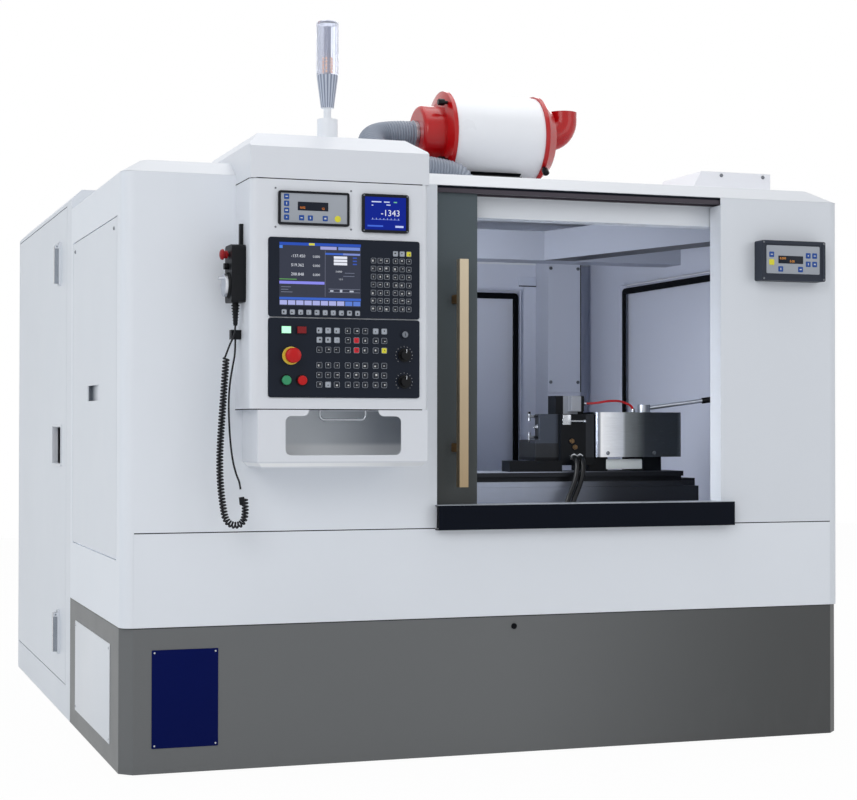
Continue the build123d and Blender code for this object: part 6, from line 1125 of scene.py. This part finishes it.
dial = [(0.0300, 0.0), (0.0335, 0.0), (0.0335, 0.0030), (0.0318, 0.0060), (0.0300, 0.0060)]
dial_ring = turned(dial, (-0.7850, pendant_middle, 1.248), LEFTWARD, 48)
shell("handwheel_dial", dial_ring, box_black, "black_plastic", ends=False)
cord_black = dressed("cord_black", powder_coat(rgb(16, 18, 24), 0.4, 0.15), Specular_IOR_Level=0.3)
curl_route = np.array([(-42, 1066), (-47, 994), (-53, 909), (-58, 830), (-58, 765), (-52, 700), (-40, 637),
                       (15, 641), (6, 706)]) / 1000.0
middle = route(np.column_stack([console_left + curl_route[:, 0], np.full(len(curl_route), pendant_middle),
                                curl_route[:, 1]]))


def spaced(line, count):
    """A number of points at even distances along a line, and the line's direction at each."""
    run = steps_along(line)
    even = np.linspace(0.0, run[-1], count)
    along = np.stack([np.interp(even, run, line[:, axis]) for axis in range(3)], 1)
    heading = np.gradient(along, axis=0)
    return along, heading / np.linalg.norm(heading, axis=1)[:, None]


curls, curl_radius, per_turn = 64, 0.007, 14
along, heading = spaced(middle, curls * per_turn + 1)
rearward = np.array(REARWARD)
turn = 2 * np.pi * curls * np.linspace(0.0, 1.0, len(along))[:, None]
helix = along + (np.cross(heading, rearward) * np.cos(turn) + rearward * np.sin(turn)) * curl_radius
lead_in = np.array([(cord_across, pendant_middle, 1.146), (cord_across, pendant_middle, 1.126),
                    helix[0] - heading[0] * 0.034])
tail = helix[-1] + heading[-1] * np.array([[0.002], [0.005]])
curl_points = np.concatenate([lead_in, helix[4:-4], tail])
curly = cord_curve("pendant_curly_cord", curl_points, cord_radius, cord_black,
                   nodes=["pendant_coil"])
sleeve_at, sleeve_way, sleeve_long = tail[-1], heading[-1], 0.020
sleeve_up, sleeve_wide = -np.cross(sleeve_way, rearward), 0.013
sleeve_form = plates([sleeve_at], rearward, sleeve_up, (sleeve_wide, sleeve_wide), sleeve_long, 0.003, 0.0015)
sleeve = shell("cord_sleeve", sleeve_form, box_black, "rubber")
lead_from = sleeve_at + sleeve_way * sleeve_long
lead_route = np.array([(-13, 762), (-23, 800), (-29, 850), (-32, 909), (-32, 959), (-28, 1004), (-20, 1046),
                       (-13, 1078)]) / 1000.0
clip = (-0.761, -1.176, 1.112)
lead_depth = pendant_middle + (clip[1] - pendant_middle) * np.arange(1, len(lead_route) + 1) / len(lead_route)
lead_run = np.column_stack([console_left + lead_route[:, 0], lead_depth, lead_route[:, 1]])
lead_points = np.concatenate([[lead_from, lead_from + sleeve_way * sleeve_long], lead_run, [clip]])
lead = cord_curve("pendant_lead_cord", lead_points, cord_radius, cord_black, nodes=["pendant_lead"])
length(route(curl_points))
length(route(lead_points))
relief_rings = [turned([(r, 0.0), (r + 0.0016, 0.0008), (r + 0.0016, 0.0034), (r, 0.0042)],
                       (cord_across, pendant_middle, 1.150 + 0.0075 * i), UP, 24)
                for i, r in enumerate(np.linspace(0.0045, 0.0094, 7))]
shell("relief_rings", np.stack(relief_rings), box_black, "rubber", ends=False)


# Mist collector: a white drum on a black saddle with red moulded caps. A ribbed grey hose brings mist
# from the roof to its left cap, held by band clamps; the right cap's scoop blows out upwards.
def ribbed(line, crest, depth, pitch, sides=40, per_rib=6):
    """A hose skin: circles along a line whose radius rises and falls once for each rib."""
    ribs = int(round(length(line) / pitch))
    along, heading = spaced(line, ribs * per_rib + 1)
    first = np.cross(heading, (0.31, 0.52, 0.79))
    first /= np.linalg.norm(first, axis=1)[:, None]
    second = np.cross(heading, first)
    angle = 2 * np.pi * np.arange(sides)[None, :, None] / sides
    wave = 0.5 + 0.5 * np.cos(2 * np.pi * ribs * np.linspace(0.0, 1.0, len(along)))
    radius = (crest - depth * wave ** 1.5)[:, None, None]
    return along[:, None] + radius * (np.cos(angle) * first[:, None] + np.sin(angle) * second[:, None])


wear(["mist_drum"], dressed("drum_white", powder_coat(rgb(240, 242, 246), 0.3, 0.06), Coat_Weight=0.1))
wear(["mist_caps"], dressed("cap_red", moulded(rgb(182, 8, 14), 0.24, 0.05), Specular_IOR_Level=0.35,
                            Coat_Weight=0.2))
duct_grey = dressed("duct_grey", moulded(rgb(138, 146, 160), 0.4, 0.05))
duct_points = np.array([(-70, -570, 1763), (-130, -570, 1763), (-205, -578, 1750), (-235, -632, 1714),
                        (-205, -688, 1670), (-130, -702, 1644), (-50, -702, 1638), (33, -702, 1622),
                        (33, -702, 1578)]) / 1000.0
duct_line = route(duct_points)
duct = shell("mist_duct", ribbed(duct_line, 0.040, 0.004, 0.009), duct_grey, "hose", ends=False, sharp=80.0)
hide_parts("mist_hose")
band = [(0.0400, 0.0), (0.0418, 0.0006), (0.0418, 0.0114), (0.0400, 0.012)]
bands = np.stack([turned(band, duct_points[0], LEFTWARD, 48), turned(band, duct_points[-1], UP, 48)])
clamps = shell("duct_clamps", bands, bright, "steel", ends=False)
knob = [(0.0, 0.030), (0.0075, 0.030), (0.0098, 0.028), (0.0105, 0.014), (0.0092, 0.010), (0.005, 0.008),
        (0.005, 0.0)]
axle = duct_points[0] * (0.0, 1.0, 1.0)
left_rim, right_rim = np.array([0.001, 0.0, 0.0]), np.array([0.304, 0.0, 0.0])


def spokes(degrees):
    """Directions square to the drum's axle, turned forwards from the top by angles."""
    return [np.array([0.0, -np.sin(angle), np.cos(angle)]) for angle in np.radians(degrees)]


knobs = [turned(knob, axle + ray * 0.118 + left_rim, LEFTWARD, 16)
         for ray in spokes([42.0, 135.0, -42.0, -135.0])]
knobs += [turned(knob, axle + ray * 0.1325 + right_rim, ray, 16) for ray in spokes([135.0, -45.0, -135.0])]
shell("cap_knobs", np.stack(knobs), black_cap, "black_plastic")
sweep = np.radians(np.linspace(6.0, 30.0, 9))
arc = np.stack([-np.sin(sweep), -np.cos(sweep)], -1)
plate_outer, plate_inner, plate_ends = 0.1290, 0.1281, (0.055, 0.243)
outline = np.concatenate([arc * plate_outer, arc[::-1] * plate_inner]) + axle[1:]
drum_sheet = np.stack([np.column_stack([np.full(len(outline), x), outline]) for x in plate_ends])
shell("drum_plate", drum_sheet, shade_strip_and_plate_black, "black_plastic")


# Beacon: a pale foot and neck on the hood, a ribbed grey taper, and a clear ribbed lens with a stack of
# small lit lamps round a core inside.
beacon_x, beacon_y = -0.505, -1.130


def beacon_colours(place):
    """Beacon: white foot and neck; the taper is metallised and ribbed lengthways, its ribs drawn as painted
    light and shade in a sine round the axis.
    """
    made = moulded(rgb(236, 239, 244), 0.35, 0.04)(place)
    z = place.axis(2)
    around = place.math("ARCTAN2", place.axis(1) - beacon_y, place.axis(0) - beacon_x)
    rib = place.math("SINE", around * 18.0, 0.0) * 0.5 + 0.5
    # Painted light and shade: pale and dark stripes round the taper stand for its lit and shaded ribs.
    paint(made, (z > 1.7262) * (z < 1.8119), blend(rib, rgb(116, 125, 146), rgb(200, 207, 222)))
    return made


def lens_look(place):
    """Clear lens with fine lengthways prisms."""
    return {"Roughness": cloud(place, 300.0, 2.0, (1.0, 1.0, 0.1)) * 0.12 + 0.06}


def round_beacon(radius, z, step):
    """Places round the beacon's axis at a radius and a height, with the angle of each."""
    return [((beacon_x + radius * np.cos(angle), beacon_y + radius * np.sin(angle), z), angle)
            for angle in np.radians(np.arange(0.0, 360.0, step))]


beacon_clear = dressed("beacon_clear", lens_look, Base_Color=(0.82, 0.84, 0.91, 1.0),
                       Transmission_Weight=0.84, IOR=1.25)
wear(["beacon_base"], dressed("beacon_white", beacon_colours))
wear(["beacon_lens"], beacon_clear)
core_radius, core_tall, core_foot = 0.010, 0.126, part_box("beacon_lens")[0][2] + 0.002
core_profile = [(0.0, 0.0), (core_radius, 0.0), (core_radius, core_tall), (0.0, core_tall)]
core = turned(core_profile, (beacon_x, beacon_y, core_foot), UP, 24)
shell("lamp_core", core, dressed("core_grey", moulded(rgb(150, 154, 172), 0.4, 0.05)), "grey_plastic")
bulb = [(0.0, 0.0032), (0.0022, 0.0026), (0.003, 0.0), (0.0022, -0.0026), (0.0, -0.0032)]
bulb_rows = 1.822 + 0.0085 * np.arange(5)
bulbs = [turned(bulb, place, UP, 10) for z in bulb_rows for place, angle in round_beacon(0.0125, z, 60.0)]
amber = rgb(255, 196, 160)[:3]
shell("lit_lamps", np.stack(bulbs), glow_finish, "lens", tint=np.tile(amber, (len(bulbs), 1)))
ribs = [plates([place], (-np.sin(angle), np.cos(angle), 0.0), UP, (0.0016, 0.138), 0.0007, 0.0008, 0.0003)[0]
        for place, angle in round_beacon(0.0287, 1.884, 15.0)]
shell("lens_ribs", np.stack(ribs), beacon_clear, "lens")

low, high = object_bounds()
